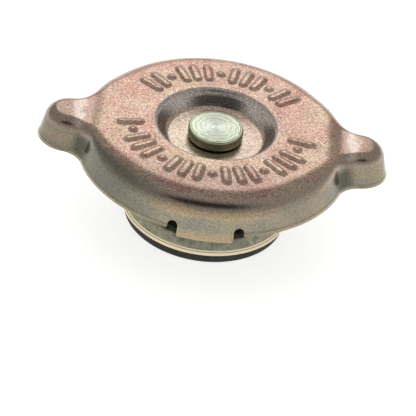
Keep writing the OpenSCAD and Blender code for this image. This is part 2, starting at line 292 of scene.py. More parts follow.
@dataclass(frozen=True)
class Zone:
    """A zone of the pressing with soft edges, and the tint laid there: the film's colour, or painted light
    or shade.

    Attributes:
        parts: Ramps and earlier zones that it lies in.
        tint: Hex colour or cloud laid there, of the film or of painted light or shade, or None where the
            zone only serves others.
        share: How far the tint covers what lies below it.
        less: An earlier zone that is left out of it.
    """

    parts: tuple[Ramp | str, ...]
    tint: str | Cloud | None = None
    share: float = 1.0
    less: str | None = None


@dataclass(frozen=True)
class ZincPassivate(Finish):
    """Yellow zinc passivate on pressed steel.

    The dip leaves a satin film of uneven thickness, so the flat top shows salmon and straw patches
    under a bright crystalline speckle, the drawn skirt is smoother and khaki, and the tabs' folds are
    tinted gold. Painted highlights lie on the skirt's upper bend, in the ears' valleys and along the
    skirt's free edge.

    Attributes:
        top_z: Height of the flat top.
        free_z: Height of the skirt's free edge.
        shoulder_r: Radius at which the top bends down.
        ear_x: Where an ear begins, and where it is fully an ear.
        recess_wall: Radii of the recess wall, at its foot and at its brim.
        ear_root: Middle of the hollow where an ear begins.
        wander_mm: Size of the wandering of the zones' edges.
        radius_wander: Width of that wandering in the radius.
        height_wander: Width of it in the height.
        span_wander: Width of it along the ears.
        film: Patches of the film.
        sheen: Wide areas of a colour of their own, which cover sheen_share.
        flecks: Small flecks of colour, which cover fleck_share.
        khaki: Film of the skirt.
        speckle_mm: Size of the bright speckle.
        speckle_gain: Strength of the speckle.
        speckle_range: Dimmest and brightest shade of the speckle.
        crystal_mm: Size of the crystals.
        crystal_depth: Depth of the crystals.
        drawn_share: How far drawing has smoothed the grain.
        dull: Added roughness where the grain is untouched.
    """

    top_z: float = CAP_H
    free_z: float = CAP_H - SKIRT_DROP
    shoulder_r: float = 25.2
    ear_x: tuple[float, float] = (26.5, 32.0)
    recess_wall: tuple[float, float] = (11.9, 14.5)
    ear_root: tuple[float, float, float] = (30.8, 9.3, 0.0)
    wander_mm: float = 3.0
    radius_wander: float = 1.2
    height_wander: float = 0.8
    span_wander: float = 4.0
    film: Cloud = Cloud(5.5, 5.0, 0.65, (
        (0.30, "#9a7f74"), (0.43, "#b29588"), (0.53, "#c2a597"), (0.61, "#c8b5a4"), (0.72, "#b7a896")))
    sheen: Cloud = Cloud(13.0, 3.0, 0.5, ((0.38, "#bd7a70"), (0.50, "#b7968a"), (0.62, "#c2b18a")))
    sheen_share: float = 0.4
    flecks: Cloud = Cloud(0.8, 2.0, 0.5, ((0.36, "#b27f76"), (0.50, "#c2a295"), (0.66, "#d4c8a2")))
    fleck_share: float = 0.35
    khaki: Cloud = Cloud(7.0, 4.0, 0.5, ((0.34, "#88857a"), (0.50, "#938c7a"), (0.66, "#a2937d")))
    speckle_mm: float = 0.4
    speckle_gain: float = 2.7
    speckle_range: tuple[float, float] = (0.3, 1.7)
    crystal_mm: float = 0.34
    crystal_depth: float = 0.04
    drawn_share: float = 0.4
    dull: float = 0.1

    def zones(self) -> dict[str, Zone]:
        """Name the zones of the pressing, in the order in which their tints are laid.

        Returns:
            The zones by name, each after those that it is made from.
        """
        top, free = self.top_z, self.free_z
        foot, brim = self.recess_wall
        return {
            "low": Zone((Ramp(Measure.HEIGHT, top - 1.6, top - 4.4),)),
            "tab": Zone((Ramp(Measure.SPAN, 6.9, 6.4), Ramp(Measure.DEPTH, 27.0, 28.0))),
            "floor": Zone((Ramp(Measure.RADIUS, foot + 0.3, foot - 0.6),), "#d2c2b3", 0.6),
            # Painted shade: the front of the flat top is darkened where the front arc of marks lies.
            "front": Zone((Ramp(Measure.Y, -14.5, -22.0), Ramp(Measure.HEIGHT, top - 1.0, top - 0.5)),
                          "#85786f", 0.35),
            "ear": Zone((Ramp(Measure.SPAN, *self.ear_x),), "#ae8175", 0.65),
            "crown": Zone(("ear", Ramp(Measure.HEIGHT, top - 4.4, top - 1.6))),
            "shoulder": Zone((Ramp(Measure.RADIUS, self.shoulder_r - 1.2, self.shoulder_r),
                              Ramp(Measure.HEIGHT, top - 0.1, top - 1.4)), "#a39a8d", 0.7),
            # Painted highlight: a pale stripe along the valley of each ear.
            "painted_valley_highlight": Zone((Ramp(Measure.RAGGED_SPAN, 30.4, 31.8), Ramp(Measure.RAGGED_SPAN, 34.2, 32.2),
                             Ramp(Measure.HEIGHT, top - 2.4, top - 1.4)), "#e9ded3", 0.5),
            "skirt": Zone(("low", "shoulder"), self.khaki),
            # Painted highlight: a golden band high on the skirt's bend at the front and back.
            "gold": Zone(("shoulder", Ramp(Measure.SPAN, 19.0, 6.0),
                          Ramp(Measure.HEIGHT, free + 3.2, free + 4.3),
                          Ramp(Measure.HEIGHT, free + 6.0, free + 5.0)), "#b99a74", 0.45),
            # Painted shade: the left side of the shoulder and skirt is darkened.
            "left": Zone((Ramp(Measure.X, -6.0, -21.0), "shoulder"), "#6a6a60", 0.78, less="crown"),
            # Painted shade: the right side of the skirt is darkened.
            "right": Zone((Ramp(Measure.X, 9.0, 22.0), "skirt"), "#76736a", 0.38),
            "flank": Zone(("ear", "low", Ramp(Measure.HEIGHT, free + 1.6, free + 2.8),
                           Ramp(Measure.HEIGHT, free + 5.2, free + 3.8)), "#a08c66", 0.35),
            # Painted shade: the hollow where each ear begins is darkened.
            "root": Zone((Ramp(Measure.FROM_ROOT, 4.6, 1.6), "low",
                          Ramp(Measure.HEIGHT, free, free + 1.5)), "#45463f", 0.8),
            # Painted shade: the front half of the left ear is darkened.
            "painted_left_ear_shade": Zone((Ramp(Measure.X, -31.5, -33.5), Ramp(Measure.Y, 3.0, 0.0)), "#8a7d74", 0.3),
            "wall": Zone((Ramp(Measure.RADIUS, foot - 0.4, foot + 0.3),
                          Ramp(Measure.RADIUS, brim + 0.5, brim - 0.2)), "#c0b8b2", 0.85),
            # Painted reflection: a dark patch low on the back wall of the recess stands in for the dark
            # room it reflects.
            "painted_back_wall_shade": Zone(("wall", Ramp(Measure.Y, 4.0, 9.0), Ramp(Measure.SPAN, 8.5, 4.0),
                          Ramp(Measure.HEIGHT, top - 0.9, top - 1.7)), "#3f3b38", 0.85),
            "fold": Zone(("tab", Ramp(Measure.HEIGHT, free + 1.6, free - 1.8)), "#c2a47b", 0.6),
            # Painted shade: a dark line just above the skirt's free edge.
            "painted_edge_shade": Zone((Ramp(Measure.Z, free + 1.2, free + 0.85),
                          Ramp(Measure.Z, free + 0.45, free + 0.65)), "#6a6456", 0.5, less="tab"),
            # Painted highlight: a pale cream line along the skirt's free edge.
            "edge": Zone((Ramp(Measure.Z, free + 0.6, free + 0.35),), "#d8cda8", 0.75, less="tab"),
        }

    def measures(self, g: Graph, place: Any) -> dict[Measure, Any]:
        """Measure a place in all the ways that the zones use.

        Args:
            g: The material's graph.
            place: Object coordinates.

        Returns:
            One socket for each measure, in metres.
        """
        x, y, z = g.add("ShaderNodeSeparateXYZ", {0: place}, out=None).outputs
        noise = g.add("ShaderNodeTexNoise", {
            "Vector": place, "Scale": grain(self.wander_mm), "Detail": 3.0})
        stray = g.add("ShaderNodeMath", {0: noise, 1: 0.5}, operation="SUBTRACT")
        span = g.add("ShaderNodeMath", {0: x}, operation="ABSOLUTE")
        depth = g.add("ShaderNodeMath", {0: y}, operation="ABSOLUTE")
        corner = g.add("ShaderNodeCombineXYZ", {0: span, 1: depth})
        from_root = g.add("ShaderNodeVectorMath", {0: corner, 1: [c * MM for c in self.ear_root]},
                          out="Value", operation="DISTANCE")
        measures = {Measure.X: x, Measure.Y: y, Measure.Z: z, Measure.SPAN: span, Measure.DEPTH: depth,
                    Measure.FROM_ROOT: from_root}
        for measure, true, width in ((Measure.RADIUS, axis_distance(g, place), self.radius_wander),
                                     (Measure.HEIGHT, z, self.height_wander),
                                     (Measure.RAGGED_SPAN, span, self.span_wander)):
            measures[measure] = g.add("ShaderNodeMath", {0: stray, 1: width * MM, 2: true},
                                      operation="MULTIPLY_ADD")
        return measures

    def masks(self, g: Graph, place: Any) -> dict[str, Any]:
        """Work out how far a place belongs to each zone.

        Args:
            g: The material's graph.
            place: Object coordinates.

        Returns:
            One socket for each zone, from 0 to 1.
        """
        measures = self.measures(g, place)
        masks: dict[str, Any] = {}
        for name, zone in self.zones().items():
            mask: Any = None
            for part in zone.parts:
                if isinstance(part, Ramp):
                    inside = g.add("ShaderNodeMapRange", {
                        "Value": measures[part.measure], "From Min": part.start * MM,
                        "From Max": part.end * MM}, interpolation_type="SMOOTHSTEP")
                else:
                    inside = masks[part]
                if mask is not None:
                    inside = g.add("ShaderNodeMath", {0: mask, 1: inside}, operation="MULTIPLY")
                mask = inside
            if zone.less:
                mask = g.add("ShaderNodeMath", {0: mask, 1: masks[zone.less]}, operation="SUBTRACT",
                             use_clamp=True)
            masks[name] = mask
        return masks

    def surface(self, g: Graph, place: Any) -> Surface:
        """Mix the film's patches, tint each zone of the pressing and lay the speckle over it.

        Args:
            g: The material's graph.
            place: Object coordinates.

        Returns:
            The surface for the shader.
        """
        masks = self.masks(g, place)
        tint = self.film.paint(g, place)[1]
        for cloud, share in ((self.sheen, self.sheen_share), (self.flecks, self.fleck_share)):
            tint = g.add("ShaderNodeMix", {SHARE: share, BELOW: tint, ABOVE: cloud.paint(g, place)[1]},
                         out=MIXED, data_type="RGBA")
        for name, zone in self.zones().items():
            if zone.tint is None:
                continue
            amount = g.add("ShaderNodeMath", {0: masks[name], 1: zone.share}, operation="MULTIPLY")
            colour = srgb(zone.tint) if isinstance(zone.tint, str) else zone.tint.paint(g, place)[1]
            tint = g.add("ShaderNodeMix", {SHARE: amount, BELOW: tint, ABOVE: colour}, out=MIXED,
                         data_type="RGBA")
        drawn = g.add("ShaderNodeMath", {0: masks["shoulder"], 1: self.drawn_share}, operation="MULTIPLY")
        grainy = g.add("ShaderNodeMath", {0: 1.0, 1: drawn}, operation="SUBTRACT")
        speckle = g.add("ShaderNodeTexNoise", {
            "Vector": place, "Scale": grain(self.speckle_mm), "Detail": 3.0, "Roughness": 0.7})
        swing = g.add("ShaderNodeMath", {0: speckle, 1: 0.5}, operation="SUBTRACT")
        swing = g.add("ShaderNodeMath", {0: swing, 1: grainy}, operation="MULTIPLY")
        shade = g.add("ShaderNodeMath", {0: swing, 1: self.speckle_gain, 2: 1.0}, operation="MULTIPLY_ADD")
        dim, bright = self.speckle_range
        shade = g.add("ShaderNodeClamp", {"Value": shade, "Min": dim, "Max": bright})
        colour = g.add("ShaderNodeMix", {SHARE: 1.0, BELOW: tint, ABOVE: shade}, out=MIXED,
                       data_type="RGBA", blend_type="MULTIPLY")
        # The crystals are finer than this in fact: they are drawn coarse enough to show.
        crystals = g.add("ShaderNodeTexNoise", {
            "Vector": place, "Scale": grain(self.crystal_mm), "Detail": 3.0})
        smoothed = g.add("ShaderNodeMath", {0: grainy, 1: 2.0}, operation="POWER")
        height = g.add("ShaderNodeMath", {0: crystals, 1: smoothed}, operation="MULTIPLY")
        roughness = g.add("ShaderNodeMapRange", {
            "Value": grainy, "From Min": 0.5, "From Max": 1.0,
            "To Min": self.roughness, "To Max": self.roughness + self.dull})
        return Surface(colour, height, self.crystal_depth, roughness)


@dataclass(frozen=True)
class TurnedMetal(Finish):
    """Metal turned on a lathe, with fine rings round its axis.

    Each ring catches the light on one flank, so a face shows concentric lines, and the rim keeps a
    tint of its plating.

    Attributes:
        core: Colour of the worn middle.
        rim: Colour of the rim.
        film: Colour of the plating that is left between the rings.
        rim_r: Radii between which the middle turns into the rim.
        ring_mm: Distance from ring to ring.
        ring_depth: Depth of the tool marks.
        stain_mm: Size of the stains.
        stain_reach: How far a stain shifts the rings.
        film_share: Most that the plating covers.
        core_film: Share of it that is left in the middle.
    """

    core: str = "#d6dad3"
    rim: str = "#a3a98f"
    film: str = "#b2bc7c"
    rim_r: tuple[float, float] = (5.4, 6.5)
    ring_mm: float = 1.1
    ring_depth: float = 0.02
    stain_mm: float = 1.8
    stain_reach: float = 2.4
    film_share: float = 0.9
    core_film: float = 0.15

    def surface(self, g: Graph, place: Any) -> Surface:
        """Blend the bright core into the tinted rim, with faint stains over the turned rings.

        Args:
            g: The material's graph.
            place: Object coordinates.

        Returns:
            The surface for the shader.
        """
        radius = axis_distance(g, place)
        ring_turn = 2 * math.pi / (self.ring_mm * MM)
        stain = g.add("ShaderNodeTexNoise", {"Vector": place, "Scale": grain(self.stain_mm), "Detail": 4.0})
        stray = g.add("ShaderNodeMath", {0: stain, 1: 0.5}, operation="SUBTRACT")
        stained = g.add("ShaderNodeMath", {0: stray, 1: self.stain_reach * MM, 2: radius},
                        operation="MULTIPLY_ADD")
        amount = g.add("ShaderNodeMapRange", {
            "Value": stained, "From Min": self.rim_r[0] * MM, "From Max": self.rim_r[1] * MM},
            interpolation_type="SMOOTHSTEP")
        turn = g.add("ShaderNodeMath", {0: stained, 1: ring_turn}, operation="MULTIPLY")
        bands = g.add("ShaderNodeMath", {0: turn}, operation="SINE")
        worn = g.add("ShaderNodeMapRange", {
            "Value": bands, "From Min": -0.2, "From Max": 1.0, "To Max": self.film_share})
        kept = g.add("ShaderNodeMapRange", {
            "Value": stained, "From Min": 0.0, "From Max": self.rim_r[0] * MM, "To Min": self.core_film})
        worn = g.add("ShaderNodeMath", {0: worn, 1: kept}, operation="MULTIPLY")
        colour = g.add("ShaderNodeMix", {SHARE: worn, BELOW: srgb(self.core), ABOVE: srgb(self.film)},
                       out=MIXED, data_type="RGBA")
        colour = g.add("ShaderNodeMix", {SHARE: amount, BELOW: colour, ABOVE: srgb(self.rim)},
                       out=MIXED, data_type="RGBA")
        # The tool marks are finer than this in fact: they are drawn coarse enough to show.
        turn = g.add("ShaderNodeMath", {0: radius, 1: 2 * ring_turn}, operation="MULTIPLY")
        rings = g.add("ShaderNodeMath", {0: turn}, operation="SINE")
        return Surface(colour, rings, self.ring_depth, self.roughness)


@dataclass(frozen=True)
class SheetMetal(Finish):
    """Plain sheet or wire of steel, with a cloudy surface and fine scuffs.

    Attributes:
        low: Darker tone of the clouds.
        high: Lighter tone of the clouds.
        cloud_mm: Size of the clouds.
        scuff_mm: Size of the scuffs.
        scuff_depth: Depth of the scuffs.
        dull: Added roughness of the lighter clouds.
    """

    low: str = "#6f716f"
    high: str = "#a3a39c"
    cloud_mm: float = 2.5
    scuff_mm: float = 0.5
    scuff_depth: float = 0.02
    dull: float = 0.15

    def surface(self, g: Graph, place: Any) -> Surface:
        """Blend two tones in soft clouds that also change the gloss, over the scuffs of pressing.

        Args:
            g: The material's graph.
            place: Object coordinates.

        Returns:
            The surface for the shader.
        """
        tones = Cloud(self.cloud_mm, 6.0, 0.7, ((0.36, self.low), (0.66, self.high)))
        clouds, colour = tones.paint(g, place)
        scuffs = g.add("ShaderNodeTexNoise", {
            "Vector": place, "Scale": grain(self.scuff_mm), "Detail": 4.0})
        roughness = g.add("ShaderNodeMapRange", {
            "Value": clouds, "From Min": 0.3, "From Max": 0.7,
            "To Min": self.roughness, "To Max": self.roughness + self.dull})
        return Surface(colour, scuffs, self.scuff_depth, roughness)


@dataclass(frozen=True)
class CupPassivate(SheetMetal):
    """Grey-green passivate on a drawn cup whose lip carries a painted highlight.

    Attributes:
        lip: Colour of the painted highlight on the lip.
        lip_r: Radii between which the wall turns into the lip.
    """

    # Painted highlight: the lip's pale cream stands in for the light caught by the rolled lip.
    lip: str = "#ecdcbe"
    lip_r: tuple[float, float] = (19.7, 19.8)

    def surface(self, g: Graph, place: Any) -> Surface:
        """Blend the cloudy wall into the painted highlight on the lip.

        Args:
            g: The material's graph.
            place: Object coordinates.

        Returns:
            The surface for the shader.
        """
        wall = super().surface(g, place)
        amount = g.add("ShaderNodeMapRange", {
            "Value": axis_distance(g, place), "From Min": self.lip_r[0] * MM,
            "From Max": self.lip_r[1] * MM})
        colour = g.add("ShaderNodeMix", {SHARE: amount, BELOW: wall.colour, ABOVE: srgb(self.lip)},
                       out=MIXED, data_type="RGBA")
        return replace(wall, colour=colour)


@dataclass(frozen=True)
class Rubber(Finish):
    """Moulded black rubber, with a matt skin, pale bloom and fine moulding grain.

    Attributes:
        skin: Colour of the skin.
        bloom: Colour of the bloom.
        bloom_mm: Size of the patches of bloom.
        grain_mm: Size of the grain.
        grain_depth: Depth of the grain.
    """

    skin: str = "#1e1e1d"
    bloom: str = "#45443f"
    bloom_mm: float = 3.5
    grain_mm: float = 0.4
    grain_depth: float = 0.03

    def surface(self, g: Graph, place: Any) -> Surface:
        """Let the bloom show in soft patches over the moulding grain.

        Args:
            g: The material's graph.
            place: Object coordinates.

        Returns:
            The surface for the shader.
        """
        patches = Cloud(self.bloom_mm, 6.0, 0.7, ((0.42, self.skin), (0.78, self.bloom)))
        colour = patches.paint(g, place)[1]
        moulded = g.add("ShaderNodeTexNoise", {
            "Vector": place, "Scale": grain(self.grain_mm), "Detail": 3.0})
        return Surface(colour, moulded, self.grain_depth, self.roughness)


def bent(corners: Sequence[Corner], steps: int = 8, closed: bool = False) -> np.ndarray:
    """Follow corners of (r, z, bend radius) with round bends.

    Args:
        corners: Corners in order, where an end corner of an open line needs no radius.
        steps: Steps in each bend.
        closed: Whether the line joins its own start.

    Returns:
        The points of the line, one row each.
    """
    count = len(corners)
    points: list[np.ndarray] = []
    for i, corner in enumerate(corners):
        at = np.array(corner[:2])
        radius = corner[2] if len(corner) > 2 else 0.0
        if radius == 0 or (not closed and i in (0, count - 1)):
            points.append(at)
            continue
        u = np.array(corners[i - 1][:2]) - at
        v = np.array(corners[(i + 1) % count][:2]) - at
        u, v = u / np.linalg.norm(u), v / np.linalg.norm(v)
        half = math.acos(float(np.clip(u @ v, -1, 1))) / 2
        middle = at + (u + v) / np.linalg.norm(u + v) * radius / math.sin(half)
        start, end = at + u * radius / math.tan(half) - middle, at + v * radius / math.tan(half) - middle
        first = math.atan2(start[1], start[0])
        turn = (math.atan2(end[1], end[0]) - first + math.pi) % (2 * math.pi) - math.pi
        for a in np.linspace(first, first + turn, steps + 1):
            points.append(middle + radius * np.array([math.cos(a), math.sin(a)]))
    return np.array(points)


def beside(line: np.ndarray, distance: float) -> np.ndarray:
    """Move a line sideways, to the left of its direction.

    Args:
        line: Points of the line.
        distance: How far to move it.

    Returns:
        The moved points.
    """
    along = np.diff(line, axis=0)
    along /= np.linalg.norm(along, axis=1, keepdims=True)
    left = np.stack([-along[:, 1], along[:, 0]], 1)
    before, after = np.vstack([left[:1], left]), np.vstack([left, left[-1:]])
    mean = before + after
    mean /= np.linalg.norm(mean, axis=1, keepdims=True)
    return line + mean * distance / np.sum(mean * after, axis=1, keepdims=True)


def sheet(corners: Sequence[Corner], thickness: float) -> np.ndarray:
    """Closed section of a sheet whose middle follows the corners."""
    line = bent(corners)
    return np.vstack([beside(line, -thickness / 2), beside(line, thickness / 2)[::-1]])


def refine(line: np.ndarray, longest: float) -> np.ndarray:
    """Split the steps of a line that are longer than given.

    Args:
        line: Points of the line.
        longest: The longest step that stays.

    Returns:
        The line with its added points.
    """
    points = [line[0]]
    for a, b in zip(line[:-1], line[1:]):
        parts = max(1, math.ceil(np.linalg.norm(b - a) / longest))
        points += [a + (b - a) * k / parts for k in range(1, parts + 1)]
    return np.array(points)


def smooth(u: float) -> float:
    """Ease from 0 to 1 as u goes from 0 to 1, with no kink in the curvature."""
    c = min(1.0, max(0.0, u))
    return c ** 3 * (10 - 15 * c + 6 * c * c)


def new_object(name: str, points: Iterable[Sequence[float]],
               faces: Iterable[Sequence[int]]) -> bpy.types.Object:
    """Make a smooth-shaded mesh object from points in millimetres.

    Args:
        name: Name of the object.
        points: Places in millimetres.
        faces: Corner indices of each face.

    Returns:
        The new object, linked to the scene.
    """
    mesh = bpy.data.meshes.new(name)
    mesh.from_pydata([tuple(float(c) * MM for c in p) for p in points], [], [list(f) for f in faces])
    mesh.update()
    thing = bpy.data.objects.new(name, mesh)
    bpy.context.scene.collection.objects.link(thing)
    return thing


def lathe(name: str, section: np.ndarray, segments: int = 180) -> bpy.types.Object:
    """Turn a closed section round the Z axis.

    Args:
        name: Name of the object.
        section: Points of (r, z) in millimetres, counterclockwise, with r to the right.
        segments: Steps round the axis.

    Returns:
        The turned object. Points on the axis become one point each.
    """
    points: list[tuple[float, float, float]] = []
    rings: list[list[int]] = []
    for r, z in section:
        turns = 1 if r < ON_AXIS else segments
        rings.append(list(range(len(points), len(points) + turns)))
        points += [(r * math.cos(2 * math.pi * k / segments), r * math.sin(2 * math.pi * k / segments), z)
                   for k in range(turns)]
    faces = []
    for i, low in enumerate(rings):
        high = rings[(i + 1) % len(rings)]
        for k in range(segments):
            n = (k + 1) % segments
            quad = [low[k % len(low)], low[n % len(low)], high[n % len(high)], high[k % len(high)]]
            corners = list(dict.fromkeys(quad))
            if len(corners) > 2:
                faces.append(corners)
    return new_object(name, points, faces)


def settle(thing: bpy.types.Object) -> None:
    """Turn an object and its modifiers into a plain mesh.

    Args:
        thing: The object.
    """
    bpy.context.view_layer.update()
    graph = bpy.context.evaluated_depsgraph_get()
    mesh = bpy.data.meshes.new_from_object(
        thing.evaluated_get(graph), preserve_all_data_layers=True, depsgraph=graph)
    thing.modifiers.clear()
    thing.data = mesh
    mesh.name = thing.name


def dress(thing: bpy.types.Object, material: bpy.types.Material, crisp_deg: float = 38.0) -> None:
    """Give an object its material and shading.

    Args:
        thing: The object.
        material: Its material.
        crisp_deg: Edges that turn more than this stay crisp.
    """
    thing.data.materials.clear()
    thing.data.materials.append(material)
    thing.data.shade_smooth()
    thing.data.set_sharp_from_angle(angle=math.radians(crisp_deg))


def hand_over(thing: bpy.types.Object, node: str, body: Body) -> None:
    """Tie a finished piece to the frame.

    Args:
        thing: The piece.
        node: The solid that it stands for.
        body: The body that it moves with.
    """
    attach(thing, body.value)
    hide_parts(node)
    LOG.info("%s: %d faces on %s", thing.name, len(thing.data.polygons), body.value)


def add_tree(thing: bpy.types.Object, tree: bpy.types.NodeTree, values: dict[str, Any]) -> None:
    """Give an object a geometry tree as a modifier and set the tree's inputs.

    Args:
        thing: The object.
        tree: The geometry tree.
        values: Input values by the name of the input.
    """
    modifier = thing.modifiers.new(tree.name, "NODES")
    modifier.node_group = tree
    for socket in tree.interface.items_tree:
        if socket.name in values and socket.in_out == "INPUT":
            modifier[socket.identifier] = values[socket.name]


def start_tree(name: str, floats: Sequence[str]) -> tuple[Graph, bpy.types.Node]:
    """Start a geometry tree with a geometry, a material and named number inputs.

    Args:
        name: Name of the tree.
        floats: Names of the number inputs.

    Returns:
        The graph, and its group input node.
    """
    tree = bpy.data.node_groups.new(name, "GeometryNodeTree")
    tree.interface.new_socket("Geometry", in_out="INPUT", socket_type="NodeSocketGeometry")
    tree.interface.new_socket("Geometry", in_out="OUTPUT", socket_type="NodeSocketGeometry")
    tree.interface.new_socket("Material", in_out="INPUT", socket_type="NodeSocketMaterial")
    for label in floats:
        tree.interface.new_socket(label, in_out="INPUT", socket_type="NodeSocketFloat")
    g = Graph(tree)
    return g, g.add("NodeGroupInput", out=None)


def end_tree(g: Graph, geometry: Any, material: Any) -> bpy.types.NodeTree:
    """Close a geometry tree with realized instances and a material.

    Args:
        g: The tree's graph.
        geometry: Socket of the finished geometry.
        material: Socket of the material.

    Returns:
        The finished tree.
    """
    real = g.add("GeometryNodeRealizeInstances", {0: geometry})
    dressed = g.add("GeometryNodeSetMaterial", {"Geometry": real, "Material": material})
    g.add("NodeGroupOutput", {0: dressed}, out=None)
    return g.tree


@dataclass
class CapShell:
    """The cap pressing: dished flat top, rounded shoulder, flared skirt, two ears and two folded tabs."""

    # Sheet, shoulder and skirt
    cap_h: float = CAP_H
    sheet_t: float = 0.9
    skirt_r: float = 32.0
    skirt_drop: float = SKIRT_DROP
    skirt_flare_deg: float = 14.0
    skirt_bend: float = 6.0
    lap_w: float = 1.0
    # Recess, with the pad round the rivet hole
    recess_r: float = 14.4
    recess_bend: float = 0.9
    floor_r: float = 11.8
    floor_bend: float = 2.2
    recess_depth: float = 3.9
    pad_h: float = 0.3
    pad_r: float = 4.8
    pad_bend: float = 0.6
    hole_r: float = 3.65
    # Ears in plan
    ear_reach: float = 41.3
    ear_tip_r: float = 7.1
    ear_root_r: float = 6.2
    ear_bend: float = 3.2
    ear_blend_deg: float = 25.0
    # Valley, crown and camber on top of an ear
    valley_x: float = 31.0
    valley_w: float = 6.0
    crown_x: float = 35.5
    valley_drop: float = 0.85
    crown_drop: float = 0.6
    camber: float = 0.35
    camber_half: float = 3.4
    # Folded tabs and the notches beside them
    tab_w: float = 12.8
    tab_drop: float = 2.5
    tab_reach: float = 3.4
    tab_bend: float = 1.5
    notch_w: float = 2.4
    notch_h: float = 2.0
    # Turned-out free edge of the skirt
    lip_h: float = 0.75
    lip_out: float = 0.3
    burr: float = 0.14
    # Ribs and pips, of which the last in each group is a pip
    mark_r: float = 20.3
    mark_l: float = 5.6
    mark_w: float = 1.2
    mark_flank: float = 0.8
    mark_rise: float = 0.5
    mark_pitch_deg: float = 8.8
    mark_group: int = 4
    mark_arcs_deg: tuple[float, float] = (80.0, 54.0)
    flat_margin: float = 0.2
    # Fineness of the mesh
    bend_steps: int = 6
    plain_step: float = 0.9
    ribbed_step: float = 0.37
    ribbed_margin: float = 1.5
    tilt_rounds: int = 5
    tilt_probe: float = 0.05
    tilt_most: float = 0.5
    root_columns: int = 17
    tip_columns: int = 37
    lap_rows: int = 16
    rim_rows: int = 14
    wall_rows: int = 3
    lip_rows: int = 6
    burr_rows: int = 3
    tab_rows: tuple[int, int, int] = (5, 8, 4)

    def __post_init__(self) -> None:
        """Work out the heights and the plan of the ears."""
        self.free_z = self.cap_h - self.skirt_drop
        self.floor_z = self.cap_h - self.recess_depth
        self.tab_z = self.free_z - self.tab_drop
        self.round_z = self.free_z + self.notch_h - self.notch_w / 2
        self.flare = math.radians(self.skirt_flare_deg)
        self.bend_end = math.pi / 2 - self.flare
        self.lap_out = self.skirt_r - self.rim_inset(self.skirt_bend, self.cap_h) - self.lap_w
        self.ear_x = self.ear_reach - self.ear_tip_r
        far, near = self.skirt_r + self.ear_root_r, self.ear_tip_r + self.ear_root_r
        self.root_x = (far ** 2 - near ** 2 + self.ear_x ** 2) / (2 * self.ear_x)
        self.root_y = math.sqrt(far ** 2 - self.root_x ** 2)
        self.root_angle = math.atan2(self.root_y, self.root_x)
        self.tip_angle = math.atan2(self.root_y, self.root_x - self.ear_x)
        self.ear_angle = math.atan2(self.ear_tip_r * math.sin(self.tip_angle),
                                    self.ear_x + self.ear_tip_r * math.cos(self.tip_angle))
        self.notch_angle = math.asin((self.tab_w + self.notch_w) / 2 / self.skirt_r)
        self.notch_half = math.asin(self.notch_w / 2 / self.skirt_r)

    def rim_inset(self, r: float, z: float, tilt: float = 0.0) -> float:
        """Return the way in from the free edge to where a bend begins.

        Args:
            r: Radius of the bend.
            z: Height at which it begins.
            tilt: Slope of the top there, in radians.

        Returns:
            Distance along the outline's normal.
        """
        wall_h = z - r * (math.cos(tilt) - math.cos(self.bend_end)) - self.free_z
        return r * (math.sin(self.bend_end) - math.sin(tilt)) + wall_h * math.tan(self.flare)

    def platform_line(self) -> np.ndarray:
        """Follow the upper surface from the rivet hole to the start of the rim.

        Returns:
            Rows of (r, z).
        """
        mid = self.sheet_t / 2
        pad_z = self.floor_z + self.pad_h
        corners = [
            (self.hole_r, pad_z - mid),
            (self.pad_r, pad_z - mid, self.pad_bend),
            (self.pad_r + 2 * self.pad_h, self.floor_z - mid, self.pad_bend),
            (self.floor_r, self.floor_z - mid, self.floor_bend),
            (self.recess_r, self.cap_h - mid, self.recess_bend),
            (self.lap_out - self.lap_w, self.cap_h - mid)]
        line = refine(beside(bent(corners, self.bend_steps), mid), self.plain_step)
        ribbed = line[:, 0] > self.mark_r - self.mark_l / 2 - self.ribbed_margin
        return np.vstack([line[~ribbed], refine(line[ribbed], self.ribbed_step)])

    def skirt_stretches(self) -> list[tuple[Band, np.ndarray]]:
        """Divide the back half of the skirt into stretches.

        Returns:
            The band of each stretch, with the angles of its columns.
        """
        middle = math.pi / 2
        cuts = [self.root_angle, middle - self.notch_angle - self.notch_half,
                middle - self.notch_angle + self.notch_half, middle + self.notch_angle - self.notch_half,
                middle + self.notch_angle + self.notch_half, math.pi - self.root_angle]
        bands = [Band.SKIRT, Band.NOTCH, Band.TAB, Band.NOTCH, Band.SKIRT]
        stretches = []
        for band, low, high in zip(bands, cuts[:-1], cuts[1:]):
            share = np.linspace(0, 1, BAND_COLUMNS[band] + 1)
            if band is Band.NOTCH:
                share = (1 - np.cos(math.pi * share)) / 2
            stretches.append((band, low + (high - low) * share))
        return stretches

    def outline(self) -> tuple[np.ndarray, list[Band]]:
        """Lay out the columns of the pressing round its outline, counterclockwise.

        Returns:
            Rows of [x, y, inward x, inward y], and the band between each row and the next.
        """
        def arc(x: float, y: float, r: float, angles: np.ndarray, inward: int) -> np.ndarray:
            """Return the rows of an arc, whose sheet is on its centre's side where inward is -1."""
            u = np.stack([np.cos(angles), np.sin(angles)], 1)
            return np.hstack([np.array([x, y]) + r * u, inward * u])

        root = arc(self.root_x, self.root_y, self.ear_root_r,
                   np.linspace(self.tip_angle, self.root_angle, self.root_columns) + math.pi, 1)
        near_root = (root * [1, -1, 1, -1])[::-1]
        tip = arc(self.ear_x, 0, self.ear_tip_r,
                  np.linspace(-self.tip_angle, self.tip_angle, self.tip_columns), -1)
        rows = [*near_root, *tip[1:-1], *root]
        bands = [Band.SKIRT] * (len(rows) - 1)
        for band, angles in self.skirt_stretches():
            rows += list(arc(0, 0, self.skirt_r, angles[1:], -1))
            bands += [band] * (len(angles) - 1)
        half = np.array(rows[:-1])
        return np.vstack([half, -half]), bands + bands

